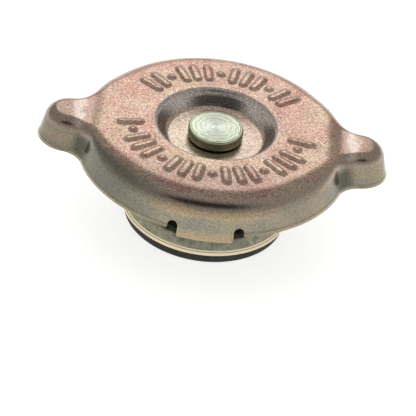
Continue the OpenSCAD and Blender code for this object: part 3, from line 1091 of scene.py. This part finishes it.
    def column(self, p: np.ndarray, inner: np.ndarray) -> np.ndarray:
        """Follow the upper surface at one place of the outline, from the rivet hole to the notches.

        Args:
            p: Row of the outline.
            inner: The platform's line of (r, z).

        Returns:
            Points from the hole to the level of the notches.
        """
        around = math.atan2(abs(p[1]), abs(p[0])) - self.ear_angle
        reach = self.root_angle - self.ear_angle + math.radians(self.ear_blend_deg)
        r = self.skirt_bend + (self.ear_bend - self.skirt_bend) * (1 - smooth(around / reach))
        at, n = p[:2], p[2:]
        tilt, edge_z = 0.0, self.cap_h
        for _ in range(self.tilt_rounds):
            top = at + n * self.rim_inset(r, edge_z, tilt)
            edge_z = self.cap_h - self.dip(*top)
            fall = self.dip(*(top - n * self.tilt_probe)) - self.dip(*(top + n * self.tilt_probe))
            tilt = min(self.tilt_most, max(0.0, math.atan(fall / (2 * self.tilt_probe))))
        far = at + n * self.rim_inset(r, self.cap_h)
        far = far / np.linalg.norm(far)
        points = [(*(far * q), z) for q, z in inner]
        for v in np.linspace(0, 1, self.lap_rows, endpoint=False):
            crest = (1 - v) * self.lap_out * far + v * top
            points.append((*crest, self.cap_h - self.dip(*crest)))
        for a in np.linspace(tilt, self.bend_end, self.rim_rows):
            points.append((*(top - n * r * (math.sin(a) - math.sin(tilt))),
                           edge_z - r * (math.cos(tilt) - math.cos(a))))
        low = self.round_z + self.arch(p)
        for z in np.linspace(points[-1][2], low, self.wall_rows + 1)[1:]:
            points.append(self.on_skirt(p, z))
        return np.array(points)

    def dip(self, x: float, y: float) -> float:
        """Shape the top: down into the valley, up to the crown, and down from the ear's spine.

        Args:
            x: Place along the ears.
            y: Place across the ears.

        Returns:
            How far the surface lies below the flat top.
        """
        way = abs(x)
        spread = math.hypot(max(0.0, way - self.ear_x), y) / self.camber_half
        into = smooth((way - self.valley_x + self.valley_w) / self.valley_w)
        beyond = smooth((way - self.valley_x) / (self.crown_x - self.valley_x))
        rise = self.valley_drop - self.crown_drop
        return self.valley_drop * into - rise * beyond + self.camber * math.tanh(spread ** 2) * beyond

    def on_skirt(self, p: np.ndarray, z: float) -> tuple[float, float, float]:
        """Return the point of the flared skirt at height z."""
        return (*(p[:2] + p[2:] * max(0.0, z - self.free_z) * math.tan(self.flare)), z)

    def arch(self, p: np.ndarray) -> float:
        """Shape the round top of a notch.

        Args:
            p: Row of the outline.

        Returns:
            How far the notch stands above its straight sides there.
        """
        if abs(p[1]) < self.root_y:
            return 0.0
        beside_tab = abs(math.atan2(p[0], abs(p[1])))
        offset = self.skirt_r * math.sin(beside_tab - self.notch_angle)
        return math.sqrt(max(0.0, (self.notch_w / 2) ** 2 - offset ** 2))

    def below(self, p: np.ndarray, band: Band) -> list[tuple[float, float, float]]:
        """Follow one column below the level of the notches.

        Args:
            p: Row of the outline.
            band: What hangs there.

        Returns:
            Points down the skirt to its burr, or down the tab to the end of its fold.
        """
        if band is Band.SKIRT:
            line = []
            for z in np.linspace(self.round_z, self.free_z + self.burr, self.lip_rows + 1)[1:]:
                out = self.lip_out * max(0.0, 1 - (z - self.free_z) / self.lip_h) ** 2
                line.append((*(np.array(self.on_skirt(p, z)[:2]) - p[2:] * out), z))
            edge = np.array(line[-1][:2])
            for a in np.linspace(0, math.pi / 2, self.burr_rows + 1)[1:]:
                line.append((*(edge + p[2:] * self.burr * (1 - math.cos(a))),
                             self.free_z + self.burr * (1 - math.sin(a))))
            return line
        fold_z = self.tab_z + self.tab_bend
        drop_rows, fold_rows, flat_rows = self.tab_rows
        line = [self.on_skirt(p, z) for z in np.linspace(self.round_z, fold_z, drop_rows + 1)[1:]]
        for a in np.linspace(0, math.pi / 2, fold_rows + 1)[1:]:
            inset = self.tab_bend * (1 - math.cos(a))
            line.append((*(p[:2] + p[2:] * inset), fold_z - self.tab_bend * math.sin(a)))
        for inset in np.linspace(self.tab_bend, self.tab_reach, flat_rows + 1)[1:]:
            line.append((*(p[:2] + p[2:] * inset), self.tab_z))
        return line

    def mesh(self) -> bpy.types.Object:
        """Build the upper surface of the pressing as one open sheet.

        Returns:
            The new object, which has no thickness yet.
        """
        inner = self.platform_line()
        rows, bands = self.outline()
        made = [self.column(p, inner) for p in rows]
        count, depth = len(rows), len(made[0])
        points = [q for column in made for q in column]
        faces = []
        for i in range(count):
            j = (i + 1) % count
            faces += [(i * depth + k, i * depth + k + 1, j * depth + k + 1, j * depth + k)
                      for k in range(depth - 1)]
        hung: dict[tuple[int, Band], list[int]] = {}
        for i, band in enumerate(bands):
            if band is Band.NOTCH:
                continue
            pair = []
            for c in (i, (i + 1) % count):
                if (c, band) not in hung:
                    line = self.below(rows[c], band)
                    hung[c, band] = [c * depth + depth - 1, *range(len(points), len(points) + len(line))]
                    points += line
                pair.append(hung[c, band])
            left, right = pair
            faces += [(left[k], left[k + 1], right[k + 1], right[k]) for k in range(len(left) - 1)]
        return new_object("cap_pressing", points, faces)

    def emboss_tree(self) -> bpy.types.NodeTree:
        """Make the tree that presses two arcs of ribs and pips up out of the flat top.

        Returns:
            The geometry tree, with its sizes as named inputs in metres and radians.
        """
        g, group = start_tree("emboss_ribs", [
            "Ring radius", "Rib length", "Rib width", "Flank", "Rise", "Pitch", "Group size", "Front arc",
            "Back arc", "Flat height"])
        size = group.outputs
        place = g.add("GeometryNodeInputPosition")
        x, y, z = g.add("ShaderNodeSeparateXYZ", {0: place}, out=None).outputs
        radius = axis_distance(g, place)
        toward = g.add("ShaderNodeMath", {0: y, 1: -1.0}, operation="MULTIPLY")
        from_ring = g.add("ShaderNodeMath", {0: radius, 1: size["Ring radius"]}, operation="SUBTRACT")
        from_ring = g.add("ShaderNodeMath", {0: from_ring}, operation="ABSOLUTE")
        spine = g.add("ShaderNodeMath", {0: size["Rib length"], 1: size["Rib width"]}, operation="SUBTRACT")
        spine = g.add("ShaderNodeMath", {0: spine, 1: 0.5}, operation="MULTIPLY")
        half = g.add("ShaderNodeMath", {0: size["Rib width"], 1: 0.5}, operation="MULTIPLY")
        outer = g.add("ShaderNodeMath", {0: half, 1: size["Flank"]}, operation="ADD")
        core = g.add("ShaderNodeMath", {0: half, 1: 0.5}, operation="MULTIPLY")
        heights = []
        for ahead, arc in ((toward, "Front arc"), (y, "Back arc")):
            angle = g.add("ShaderNodeMath", {0: x, 1: ahead}, operation="ARCTAN2")
            step = g.add("ShaderNodeMath", {0: angle, 1: size["Pitch"]}, operation="DIVIDE")
            number = g.add("ShaderNodeMath", {0: step}, operation="ROUND")
            middle = g.add("ShaderNodeMath", {0: number, 1: size["Pitch"]}, operation="MULTIPLY")
            turned = g.add("ShaderNodeMath", {0: angle, 1: middle}, operation="SUBTRACT")
            across = g.add("ShaderNodeMath", {0: turned, 1: radius}, operation="MULTIPLY")
            turn = g.add("ShaderNodeMath", {0: middle}, operation="ABSOLUTE")
            inside = g.add("ShaderNodeMath", {0: turn, 1: size[arc]}, operation="LESS_THAN")
            place_in_group = g.add("ShaderNodeMath", {0: number, 1: size["Group size"]},
                                   operation="FLOORED_MODULO")
            is_rib = g.add("ShaderNodeMath", {0: place_in_group, 1: 0.5}, operation="GREATER_THAN")
            reach = g.add("ShaderNodeMath", {0: spine, 1: is_rib}, operation="MULTIPLY")
            past = g.add("ShaderNodeMath", {0: from_ring, 1: reach}, operation="SUBTRACT")
            past = g.add("ShaderNodeMath", {0: past, 1: 0.0}, operation="MAXIMUM")
            offset = g.add("ShaderNodeCombineXYZ", {0: across, 1: past})
            away = g.add("ShaderNodeVectorMath", {0: offset}, out="Value", operation="LENGTH")
            swell = g.add("ShaderNodeMapRange", {
                "Value": away, "From Min": outer, "From Max": core, "To Max": size["Rise"]},
                interpolation_type="SMOOTHERSTEP")
            heights.append(g.add("ShaderNodeMath", {0: swell, 1: inside}, operation="MULTIPLY"))
        height = g.add("ShaderNodeMath", {0: heights[0], 1: heights[1]}, operation="ADD")
        level = g.add("ShaderNodeMath", {0: z, 1: size["Flat height"]}, operation="GREATER_THAN")
        height = g.add("ShaderNodeMath", {0: height, 1: level}, operation="MULTIPLY")
        lift = g.add("ShaderNodeCombineXYZ", {2: height})
        moved = g.add("GeometryNodeSetPosition", {"Geometry": size["Geometry"], "Offset": lift})
        return end_tree(g, moved, size["Material"])

    def build(self, material: bpy.types.Material) -> None:
        """Build, emboss and dress the pressing.

        Args:
            material: Its finish.
        """
        shell = self.mesh()
        front_arc, back_arc = (math.radians(d) for d in self.mark_arcs_deg)
        add_tree(shell, self.emboss_tree(), {
            "Material": material, "Ring radius": self.mark_r * MM, "Rib length": self.mark_l * MM,
            "Rib width": self.mark_w * MM, "Flank": self.mark_flank * MM, "Rise": self.mark_rise * MM,
            "Pitch": math.radians(self.mark_pitch_deg), "Group size": float(self.mark_group),
            "Front arc": front_arc, "Back arc": back_arc,
            "Flat height": (self.cap_h - self.flat_margin) * MM})
        wall = shell.modifiers.new("sheet", "SOLIDIFY")
        wall.thickness = self.sheet_t * MM
        wall.offset = -1.0
        wall.use_even_offset = True
        wall.use_quality_normals = True
        settle(shell)
        dress(shell, material)
        hand_over(shell, "cap_shell", Body.CAP)


@dataclass
class CentreRivet:
    """The shouldered rivet that the cap turns on.

    Attributes:
        head_r: Radius of the head.
        head_h: Height of the head.
        edge: Rounding of the head's upper edge and of the tail.
        under_edge: Rounding of the head's lower edge.
        dome: Rise of the head's middle above its edge.
        dome_in: Way in from the edge to the bend of the dome.
        dome_share: Share of the dome's rise that is left at that bend.
        dome_bend: Radius of that bend.
        shoulder_r: Radius of the shoulder that the cap turns on.
        stack_top_z: Height of the shoulder's foot.
        shank_r: Radius of the shank.
        tail_r: Radius of the clenched tail.
        tail_h: Height of the tail.
        segments: Steps round the axis.
    """

    head_r: float = 6.5
    head_h: float = 2.4
    edge: float = 0.5
    under_edge: float = 0.12
    dome: float = 0.08
    dome_in: float = 1.2
    dome_share: float = 0.3
    dome_bend: float = 1.5
    shoulder_r: float = 3.6
    stack_top_z: float = 21.65
    shank_r: float = 3.0
    tail_r: float = 5.0
    tail_h: float = 1.2
    segments: int = 128

    def build(self, material: bpy.types.Material) -> None:
        """Turn the rivet from its tail to its slightly domed head.

        Args:
            material: Its finish.
        """
        tail_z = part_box("centre_rivet")[0].z / MM
        top_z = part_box("centre_rivet")[1].z / MM
        head_z = top_z - self.head_h
        section = bent([
            (0.0, tail_z),
            (self.tail_r, tail_z, self.edge),
            (self.tail_r, tail_z + self.tail_h),
            (self.shank_r, tail_z + self.tail_h),
            (self.shank_r, self.stack_top_z),
            (self.shoulder_r, self.stack_top_z),
            (self.shoulder_r, head_z),
            (self.head_r, head_z, self.under_edge),
            (self.head_r, top_z - self.dome, self.edge),
            (self.head_r - self.dome_in, top_z - self.dome * self.dome_share, self.dome_bend),
            (0.0, top_z)], steps=6)
        rivet = lathe("turned_rivet", section, self.segments)
        dress(rivet, material)
        hand_over(rivet, "centre_rivet", Body.CARRIER)


@dataclass
class ValveCup:
    """The drawn cup that presses on the main seal, with a rolled lip.

    Attributes:
        seal_t: Thickness of the seal below it.
        lip_r: Outer radius of the lip.
        lip_w: Width of the lip.
        lip_h: Height of the lip.
        lip_edge: Rounding of the lip's edges.
        foot_in: Way in from the lip's edge to the foot of the wall.
        foot_down: Way down from the lip's top to the foot of the wall.
        cup_r: Radius of the cup.
        cup_h: Height of the cup above the seal.
        cup_t: Thickness of the sheet.
        cup_bend: Radius of the bend at the cup's top.
        fold_bend: Radius of the bends of the collar.
        collar_r: Radius of the guide collar.
        hook_r: Radius of the collar's flange.
        hook_z: Height of the flange.
        edge_round: Rounding of the sheet's cut edges.
        edge_steps: Steps of that rounding.
        edge_deg: Least turn of an edge that is rounded.
    """

    seal_t: float = SEAL_T
    lip_r: float = 20.1
    lip_w: float = 1.1
    lip_h: float = 0.95
    lip_edge: float = 0.14
    foot_in: float = 0.4
    foot_down: float = 0.3
    cup_r: float = 18.4
    cup_h: float = 3.9
    cup_t: float = 0.7
    cup_bend: float = 0.9
    fold_bend: float = 0.5
    collar_r: float = 11.7
    hook_r: float = 12.9
    hook_z: float = 10.7
    edge_round: float = 0.22
    edge_steps: int = 4
    edge_deg: float = 60.0

    def build(self, material: bpy.types.Material) -> None:
        """Roll the lip, and draw the cup from its foot in the lip to the collar's flange.

        Args:
            material: Its finish.
        """
        mid = self.cup_t / 2
        wall_r, guide_r = self.cup_r - mid, self.collar_r - mid
        top_z = self.seal_t + self.cup_h - mid
        inner_r, lip_z = self.lip_r - self.lip_w, self.seal_t + self.lip_h
        section = sheet([
            (self.lip_r - self.foot_in, lip_z - self.foot_down),
            (wall_r, top_z, self.cup_bend),
            (guide_r, top_z, self.fold_bend),
            (guide_r, self.hook_z + mid, self.fold_bend),
            (self.hook_r, self.hook_z + mid)], self.cup_t)
        cup = lathe("drawn_valve_cup", section)
        band = [(inner_r, self.seal_t), (self.lip_r, self.seal_t), (self.lip_r, lip_z), (inner_r, lip_z)]
        lip = lathe("rolled_cup_lip", bent([(r, z, self.lip_edge) for r, z in band], closed=True))
        dress(lip, material)
        hand_over(lip, "valve_cup", Body.PRESSURE_VALVE)
        bevel = cup.modifiers.new("rolled_edge", "BEVEL")
        bevel.width = self.edge_round * MM
        bevel.segments = self.edge_steps
        bevel.limit_method = "ANGLE"
        bevel.angle_limit = math.radians(self.edge_deg)
        settle(cup)
        dress(cup, material)
        hand_over(cup, "valve_cup", Body.PRESSURE_VALVE)


@dataclass
class RubberRing:
    """A rubber ring with rounded edges.

    Attributes:
        name: Name of the piece.
        node: The solid that it stands for.
        body: The body that carries it.
        bore_r: Radius of its bore.
        outer_r: Outer radius.
        low_z: Height of its underside.
        high_z: Height of its top.
        bore_edge: Rounding of the bore's edges.
        low_edge: Rounding of the outer edge below.
        high_edge: Rounding of the outer edge above.
        step: Corners of (r, z, edge radius) that lead from a raised inner part down to the underside.
    """

    name: str
    node: str
    body: Body
    bore_r: float
    outer_r: float
    low_z: float
    high_z: float
    bore_edge: float
    low_edge: float
    high_edge: float
    step: tuple[Corner, ...] = ()

    def build(self, material: bpy.types.Material) -> None:
        """Mould the ring.

        Args:
            material: Its finish.
        """
        inner_z = self.step[0][1] if self.step else self.low_z
        section = bent([
            (self.bore_r, inner_z, self.bore_edge), *self.step,
            (self.outer_r, self.low_z, self.low_edge),
            (self.outer_r, self.high_z, self.high_edge),
            (self.bore_r, self.high_z, self.bore_edge)], steps=5, closed=True)
        ring = lathe(self.name, section)
        dress(ring, material)
        hand_over(ring, self.node, self.body)


@dataclass
class CoilSpring:
    """A wound spring with closed ends.

    Attributes:
        node: The solid that it stands for.
        body: The body that holds its fixed end.
        joint: Name of the joint meant to shorten it; not used.
        travel: Travel of that joint; not used.
        radius: Mean radius of the coil.
        wire_r: Radius of the wire.
        low_z: Height of its foot.
        high_z: Height of its top.
        fixed_z: Height of its fixed end; not used.
        turns: Working turns.
        end_turns: Closed turns at each end.
        closed_pitch: Rise of a closed turn, in wire thicknesses.
        crisp_deg: Edges that turn more than this stay crisp.
    """

    node: str
    body: Body
    joint: str
    travel: float
    radius: float
    wire_r: float
    low_z: float
    high_z: float
    fixed_z: float
    turns: float
    end_turns: float = 0.8
    closed_pitch: float = 1.06
    crisp_deg: float = 60.0

    @staticmethod
    def tree() -> bpy.types.NodeTree:
        """Make the tree that winds a spring.

        Returns:
            The geometry tree, with lengths in metres.
        """
        g, group = start_tree("wind_spring", [
            "Radius", "Wire radius", "Foot", "Top", "Working turns", "End turns", "End pitch"])
        size = group.outputs
        steps_in_turn, wire_sides = 64.0, 18
        turns = g.add("ShaderNodeMath", {0: size["End turns"], 1: 2.0, 2: size["Working turns"]},
                      operation="MULTIPLY_ADD")
        count = g.add("ShaderNodeMath", {0: turns, 1: steps_in_turn}, operation="MULTIPLY")
        line = g.add("GeometryNodeCurvePrimitiveLine")
        line = g.add("GeometryNodeResampleCurve", {"Curve": line, "Count": count})
        share = g.add("GeometryNodeSplineParameter", out="Factor")
        turn = g.add("ShaderNodeMath", {0: share, 1: turns}, operation="MULTIPLY")
        angle = g.add("ShaderNodeMath", {0: turn, 1: 2 * math.pi}, operation="MULTIPLY")
        x = g.add("ShaderNodeMath", {0: angle}, operation="COSINE")
        y = g.add("ShaderNodeMath", {0: angle}, operation="SINE")
        x = g.add("ShaderNodeMath", {0: x, 1: size["Radius"]}, operation="MULTIPLY")
        y = g.add("ShaderNodeMath", {0: y, 1: size["Radius"]}, operation="MULTIPLY")
        low = g.add("ShaderNodeMath", {0: size["Foot"], 1: size["Wire radius"]}, operation="ADD")
        high = g.add("ShaderNodeMath", {0: size["Top"], 1: size["Wire radius"]}, operation="SUBTRACT")
        closed = g.add("ShaderNodeMath", {0: size["End turns"], 1: size["End pitch"]}, operation="MULTIPLY")
        past = g.add("ShaderNodeMath", {0: turns, 1: size["End turns"]}, operation="SUBTRACT")
        foot_z = g.add("ShaderNodeMath", {0: low, 1: closed}, operation="ADD")
        top_z = g.add("ShaderNodeMath", {0: high, 1: closed}, operation="SUBTRACT")
        climb = g.add("ShaderNodeMath", {0: top_z, 1: foot_z}, operation="SUBTRACT")
        first = g.add("ShaderNodeMapRange", {
            "Value": turn, "From Min": 0.0, "From Max": size["End turns"], "To Min": low, "To Max": foot_z})
        middle = g.add("ShaderNodeMapRange", {
            "Value": turn, "From Min": size["End turns"], "From Max": past, "To Min": 0.0, "To Max": climb})
        last = g.add("ShaderNodeMapRange", {
            "Value": turn, "From Min": past, "From Max": turns, "To Min": 0.0, "To Max": closed})
        z = g.add("ShaderNodeMath", {0: first, 1: middle}, operation="ADD")
        z = g.add("ShaderNodeMath", {0: z, 1: last}, operation="ADD")
        place = g.add("ShaderNodeCombineXYZ", {0: x, 1: y, 2: z})
        wound = g.add("GeometryNodeSetPosition", {"Geometry": line, "Position": place})
        wire = g.add("GeometryNodeCurvePrimitiveCircle", {
            "Resolution": wire_sides, "Radius": size["Wire radius"]})
        solid = g.add("GeometryNodeCurveToMesh", {"Curve": wound, "Profile Curve": wire, "Fill Caps": True})
        return end_tree(g, solid, size["Material"])

    def build(self, tree: bpy.types.NodeTree, material: bpy.types.Material) -> None:
        """Wind the spring.

        Args:
            tree: The tree that winds it.
            material: Its finish.
        """
        spring = new_object("wound_" + self.node, [], [])
        pitch = 2 * self.wire_r * self.closed_pitch
        add_tree(spring, tree, {
            "Material": material, "Radius": self.radius * MM, "Wire radius": self.wire_r * MM,
            "Foot": self.low_z * MM, "Top": self.high_z * MM, "Working turns": self.turns,
            "End turns": self.end_turns, "End pitch": pitch * MM})
        settle(spring)
        dress(spring, material, self.crisp_deg)
        hand_over(spring, self.node, self.body)
        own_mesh(spring)


@dataclass
class Studio:
    """Pale floor, soft light and the camera of the picture.

    Attributes:
        azimuth_deg: Camera's turn round the cap, from the front.
        elevation_deg: Camera's height above the horizon.
        roll_deg: Camera's roll.
        distance: Distance to the middle of the flat top.
        pixels_per_mm: Scale of the picture at the flat top.
        top_pixel: Place of the middle of the flat top in the picture.
        picture: Width and height of the picture in pixels.
        sensor: Width of the camera's sensor.
        clip: Nearest and farthest distance that the camera sees, in metres.
        cap_h: Height of the flat top.
        floor_half: Half the side of the floor.
        floor_paint: Colour of the floor.
        floor_glow: Glow that brings the floor to white.
        lamp_place: Place of the soft box.
        lamp_side: Side of the soft box.
        lamp_watts: Power of the soft box.
        room_paint: Colour of the room.
        horizon: Brightness of the room low in front.
        overhead: Brightness of the room overhead and low behind.
        front_y: Directions between which the low room turns from back to front.
        white_z: Heights between which the white low horizon ends.
        overhead_z: Heights between which the low room turns into the room overhead.
        unlit_side: Middle of the dark stretch of the room.
        unlit_squeeze: Scale that makes this stretch wide.
        unlit_reach: Distances from its middle at which it ends and is fully dark.
        unlit_level: Share of the light that is left there.
    """

    azimuth_deg: float = -1.84
    elevation_deg: float = 34.98
    roll_deg: float = -8.32
    distance: float = 520.0
    pixels_per_mm: float = 4.282
    top_pixel: tuple[float, float] = (216.77, 122.84)
    picture: float = 416.0
    sensor: float = 36.0
    clip: tuple[float, float] = (0.05, 20.0)
    cap_h: float = CAP_H
    floor_half: float = 4000.0
    floor_paint: str = "#f4f4f2"
    floor_glow: float = 0.72
    lamp_place: tuple[float, float, float] = (-60.0, 1300.0, 950.0)
    lamp_side: float = 900.0
    lamp_watts: float = 2.7
    room_paint: str = "#f6f5f2"
    horizon: float = 0.9
    overhead: float = 0.5
    front_y: tuple[float, float] = (0.4, -0.3)
    white_z: tuple[float, float] = (0.1, 0.2)
    overhead_z: tuple[float, float] = (0.22, 0.5)
    unlit_side: tuple[float, float, float] = (0.0, -0.62, 0.785)
    unlit_squeeze: tuple[float, float, float] = (0.35, 1.0, 1.0)
    unlit_reach: tuple[float, float] = (0.34, 0.1)
    unlit_level: float = 0.08

    def camera(self) -> None:
        """Set the camera so that the cap lies in the frame as in the picture."""
        a, e, r = (math.radians(d) for d in (self.azimuth_deg, self.elevation_deg, self.roll_deg))
        back = Vector((math.sin(a) * math.cos(e), -math.cos(a) * math.cos(e), math.sin(e)))
        level = Vector((math.cos(a), math.sin(a), 0))
        rise = back.cross(level)
        right = math.cos(r) * level - math.sin(r) * rise
        up = math.sin(r) * level + math.cos(r) * rise
        top = Vector((0, 0, self.cap_h))
        eye = top + back * self.distance
        aim = (top + right * ((self.picture / 2 - self.top_pixel[0]) / self.pixels_per_mm)
               + up * ((self.top_pixel[1] - self.picture / 2) / self.pixels_per_mm))
        behind = (eye - aim).normalized()
        side = up.cross(behind).normalized()
        turned = Matrix((side, behind.cross(side), behind)).transposed().to_4x4()
        data = bpy.data.cameras.new("camera")
        data.sensor_width = self.sensor
        data.lens = self.sensor * self.pixels_per_mm * self.distance / self.picture
        data.clip_start, data.clip_end = self.clip
        camera = bpy.data.objects.new("camera", data)
        camera.matrix_world = Matrix.Translation(eye * MM) @ turned
        bpy.context.scene.collection.objects.link(camera)
        bpy.context.scene.camera = camera

    def floor(self) -> None:
        """Lay a pale floor that stays white round the cap and keeps its shadow."""
        far = self.floor_half
        floor = new_object("floor", [(-far, -far, 0), (far, -far, 0), (far, far, 0), (-far, far, 0)],
                           [(0, 1, 2, 3)])
        material = bpy.data.materials.new("matt_white_floor")
        material.use_nodes = True
        g = Graph(material.node_tree)
        paint = g.add("ShaderNodeBsdfDiffuse", {"Color": srgb(self.floor_paint)})
        path = g.add("ShaderNodeLightPath", out=None).outputs
        seen = path["Is Camera Ray"]
        for ray in ("Is Glossy Ray", "Is Transmission Ray"):
            seen = g.add("ShaderNodeMath", {0: seen, 1: path[ray]}, operation="MAXIMUM")
        glow = g.add("ShaderNodeMath", {0: seen, 1: self.floor_glow}, operation="MULTIPLY")
        light = g.add("ShaderNodeEmission", {"Color": srgb("#ffffff"), "Strength": glow})
        both = g.add("ShaderNodeAddShader", {0: paint, 1: light})
        g.add("ShaderNodeOutputMaterial", {"Surface": both}, out=None)
        floor.data.materials.append(material)

    def lamp(self) -> None:
        """Hang one square soft box that faces the cap from behind."""
        data = bpy.data.lights.new("back_box", "AREA")
        data.shape = "SQUARE"
        data.size = self.lamp_side * MM
        data.energy = self.lamp_watts
        lamp = bpy.data.objects.new("back_box", data)
        at = Vector(self.lamp_place) * MM
        lamp.matrix_world = Matrix.Translation(at) @ at.to_track_quat("Z", "Y").to_matrix().to_4x4()
        bpy.context.scene.collection.objects.link(lamp)

    def surroundings(self) -> None:
        """Make the room: white at the horizon, dimmer overhead and behind, and dark above the front."""
        world = bpy.data.worlds.new("studio")
        world.use_nodes = True
        g = Graph(world.node_tree)
        toward = g.add("ShaderNodeTexCoord", out="Generated")
        _, deep, up = g.add("ShaderNodeSeparateXYZ", {0: toward}, out=None).outputs
        near = g.add("ShaderNodeMapRange", {
            "Value": deep, "From Min": self.front_y[0], "From Max": self.front_y[1],
            "To Min": self.overhead, "To Max": self.horizon})
        near = g.add("ShaderNodeMapRange", {
            "Value": up, "From Min": self.white_z[0], "From Max": self.white_z[1],
            "To Min": 1.0, "To Max": near})
        level = g.add("ShaderNodeMapRange", {
            "Value": up, "From Min": self.overhead_z[0], "From Max": self.overhead_z[1],
            "To Min": near, "To Max": self.overhead}, interpolation_type="SMOOTHSTEP")
        squeezed = g.add("ShaderNodeVectorMath", {0: toward, 1: self.unlit_squeeze}, operation="MULTIPLY")
        away = g.add("ShaderNodeVectorMath", {0: squeezed, 1: self.unlit_side}, out="Value",
                     operation="DISTANCE")
        dark = g.add("ShaderNodeMapRange", {
            "Value": away, "From Min": self.unlit_reach[0], "From Max": self.unlit_reach[1],
            "To Min": 1.0, "To Max": self.unlit_level}, interpolation_type="SMOOTHSTEP")
        level = g.add("ShaderNodeMath", {0: level, 1: dark}, operation="MULTIPLY")
        around = g.add("ShaderNodeBackground", {"Color": srgb(self.room_paint), "Strength": level})
        g.add("ShaderNodeOutputWorld", {"Surface": around}, out=None)
        bpy.context.scene.world = world

    def build(self) -> None:
        """Set up floor, lamp, surroundings and camera."""
        self.floor()
        self.lamp()
        self.surroundings()
        bpy.context.scene.view_settings.view_transform = "Standard"
        self.camera()


def main() -> None:
    """Build every piece of the cap in order, then the studio."""
    logging.basicConfig(level=logging.INFO, format="%(name)s: %(message)s")
    passivate = ZincPassivate("yellow_zinc_passivate", roughness=0.15, metallic=1.0).make()
    bright = TurnedMetal("turned_bright_steel", roughness=0.22, metallic=1.0).make()
    brass = TurnedMetal("turned_brass", roughness=0.26, metallic=1.0, core="#c9a45a", rim="#b08c46",
                        film="#d6b974", rim_r=(0.5, 7.0), ring_mm=0.6).make()
    spring_steel = SheetMetal("drawn_spring_steel", roughness=0.28, metallic=1.0, low="#5c5f60",
                              high="#8d9090", cloud_mm=1.2).make()
    plain = SheetMetal("pressed_plain_steel", roughness=0.32, metallic=1.0, low="#85857f",
                       high="#b4b3aa").make()
    grey = CupPassivate("grey_green_passivate", roughness=0.3, metallic=1.0, low="#72776e",
                        high="#b0a892", cloud_mm=1.6).make()
    rubber = Rubber("moulded_black_rubber", roughness=0.62, metallic=0.0).make()

    CapShell().build(passivate)
    CentreRivet().build(bright)
    ValveCup().build(grey)
    RubberRing("moulded_main_seal", "main_seal", Body.PRESSURE_VALVE, bore_r=9.65, outer_r=19.3, low_z=0.0,
               high_z=SEAL_T, bore_edge=0.1, low_edge=0.55, high_edge=0.5,
               step=((12.8, 1.5, 0.15), (13.4, 0.0, 0.3))).build(rubber)
    RubberRing("cut_neck_gasket", "neck_gasket", Body.CARRIER, bore_r=22.8, outer_r=27.2, low_z=18.55,
               high_z=20.0, bore_edge=0.15, low_edge=0.2, high_edge=0.2).build(rubber)
    winding = CoilSpring.tree()
    CoilSpring("main_spring", Body.CARRIER, "pressure_lift", travel=3.0, radius=15.5, wire_r=0.9, low_z=6.6,
               high_z=20.5, fixed_z=20.5, turns=3.2).build(winding, spring_steel)
    CoilSpring("vacuum_spring", Body.PRESSURE_VALVE, "vacuum_open", travel=1.1, radius=2.25, wire_r=0.25,
               low_z=3.9, high_z=7.6, fixed_z=3.9, turns=3.0).build(winding, spring_steel)
    for node, material in (("spring_disc", spring_steel), ("spring_seat", plain), ("spring_bell", plain),
                           ("seal_plate", plain), ("vacuum_seat", plain), ("vacuum_disc", brass),
                           ("vacuum_stem", brass), ("stem_collar", brass), ("vacuum_washer", rubber)):
        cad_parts[node].data.materials.clear()
        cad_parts[node].data.materials.append(material)
        LOG.info("%s: %s", node, material.name)
    Studio().build()


if __name__ == "__main__":
    main()
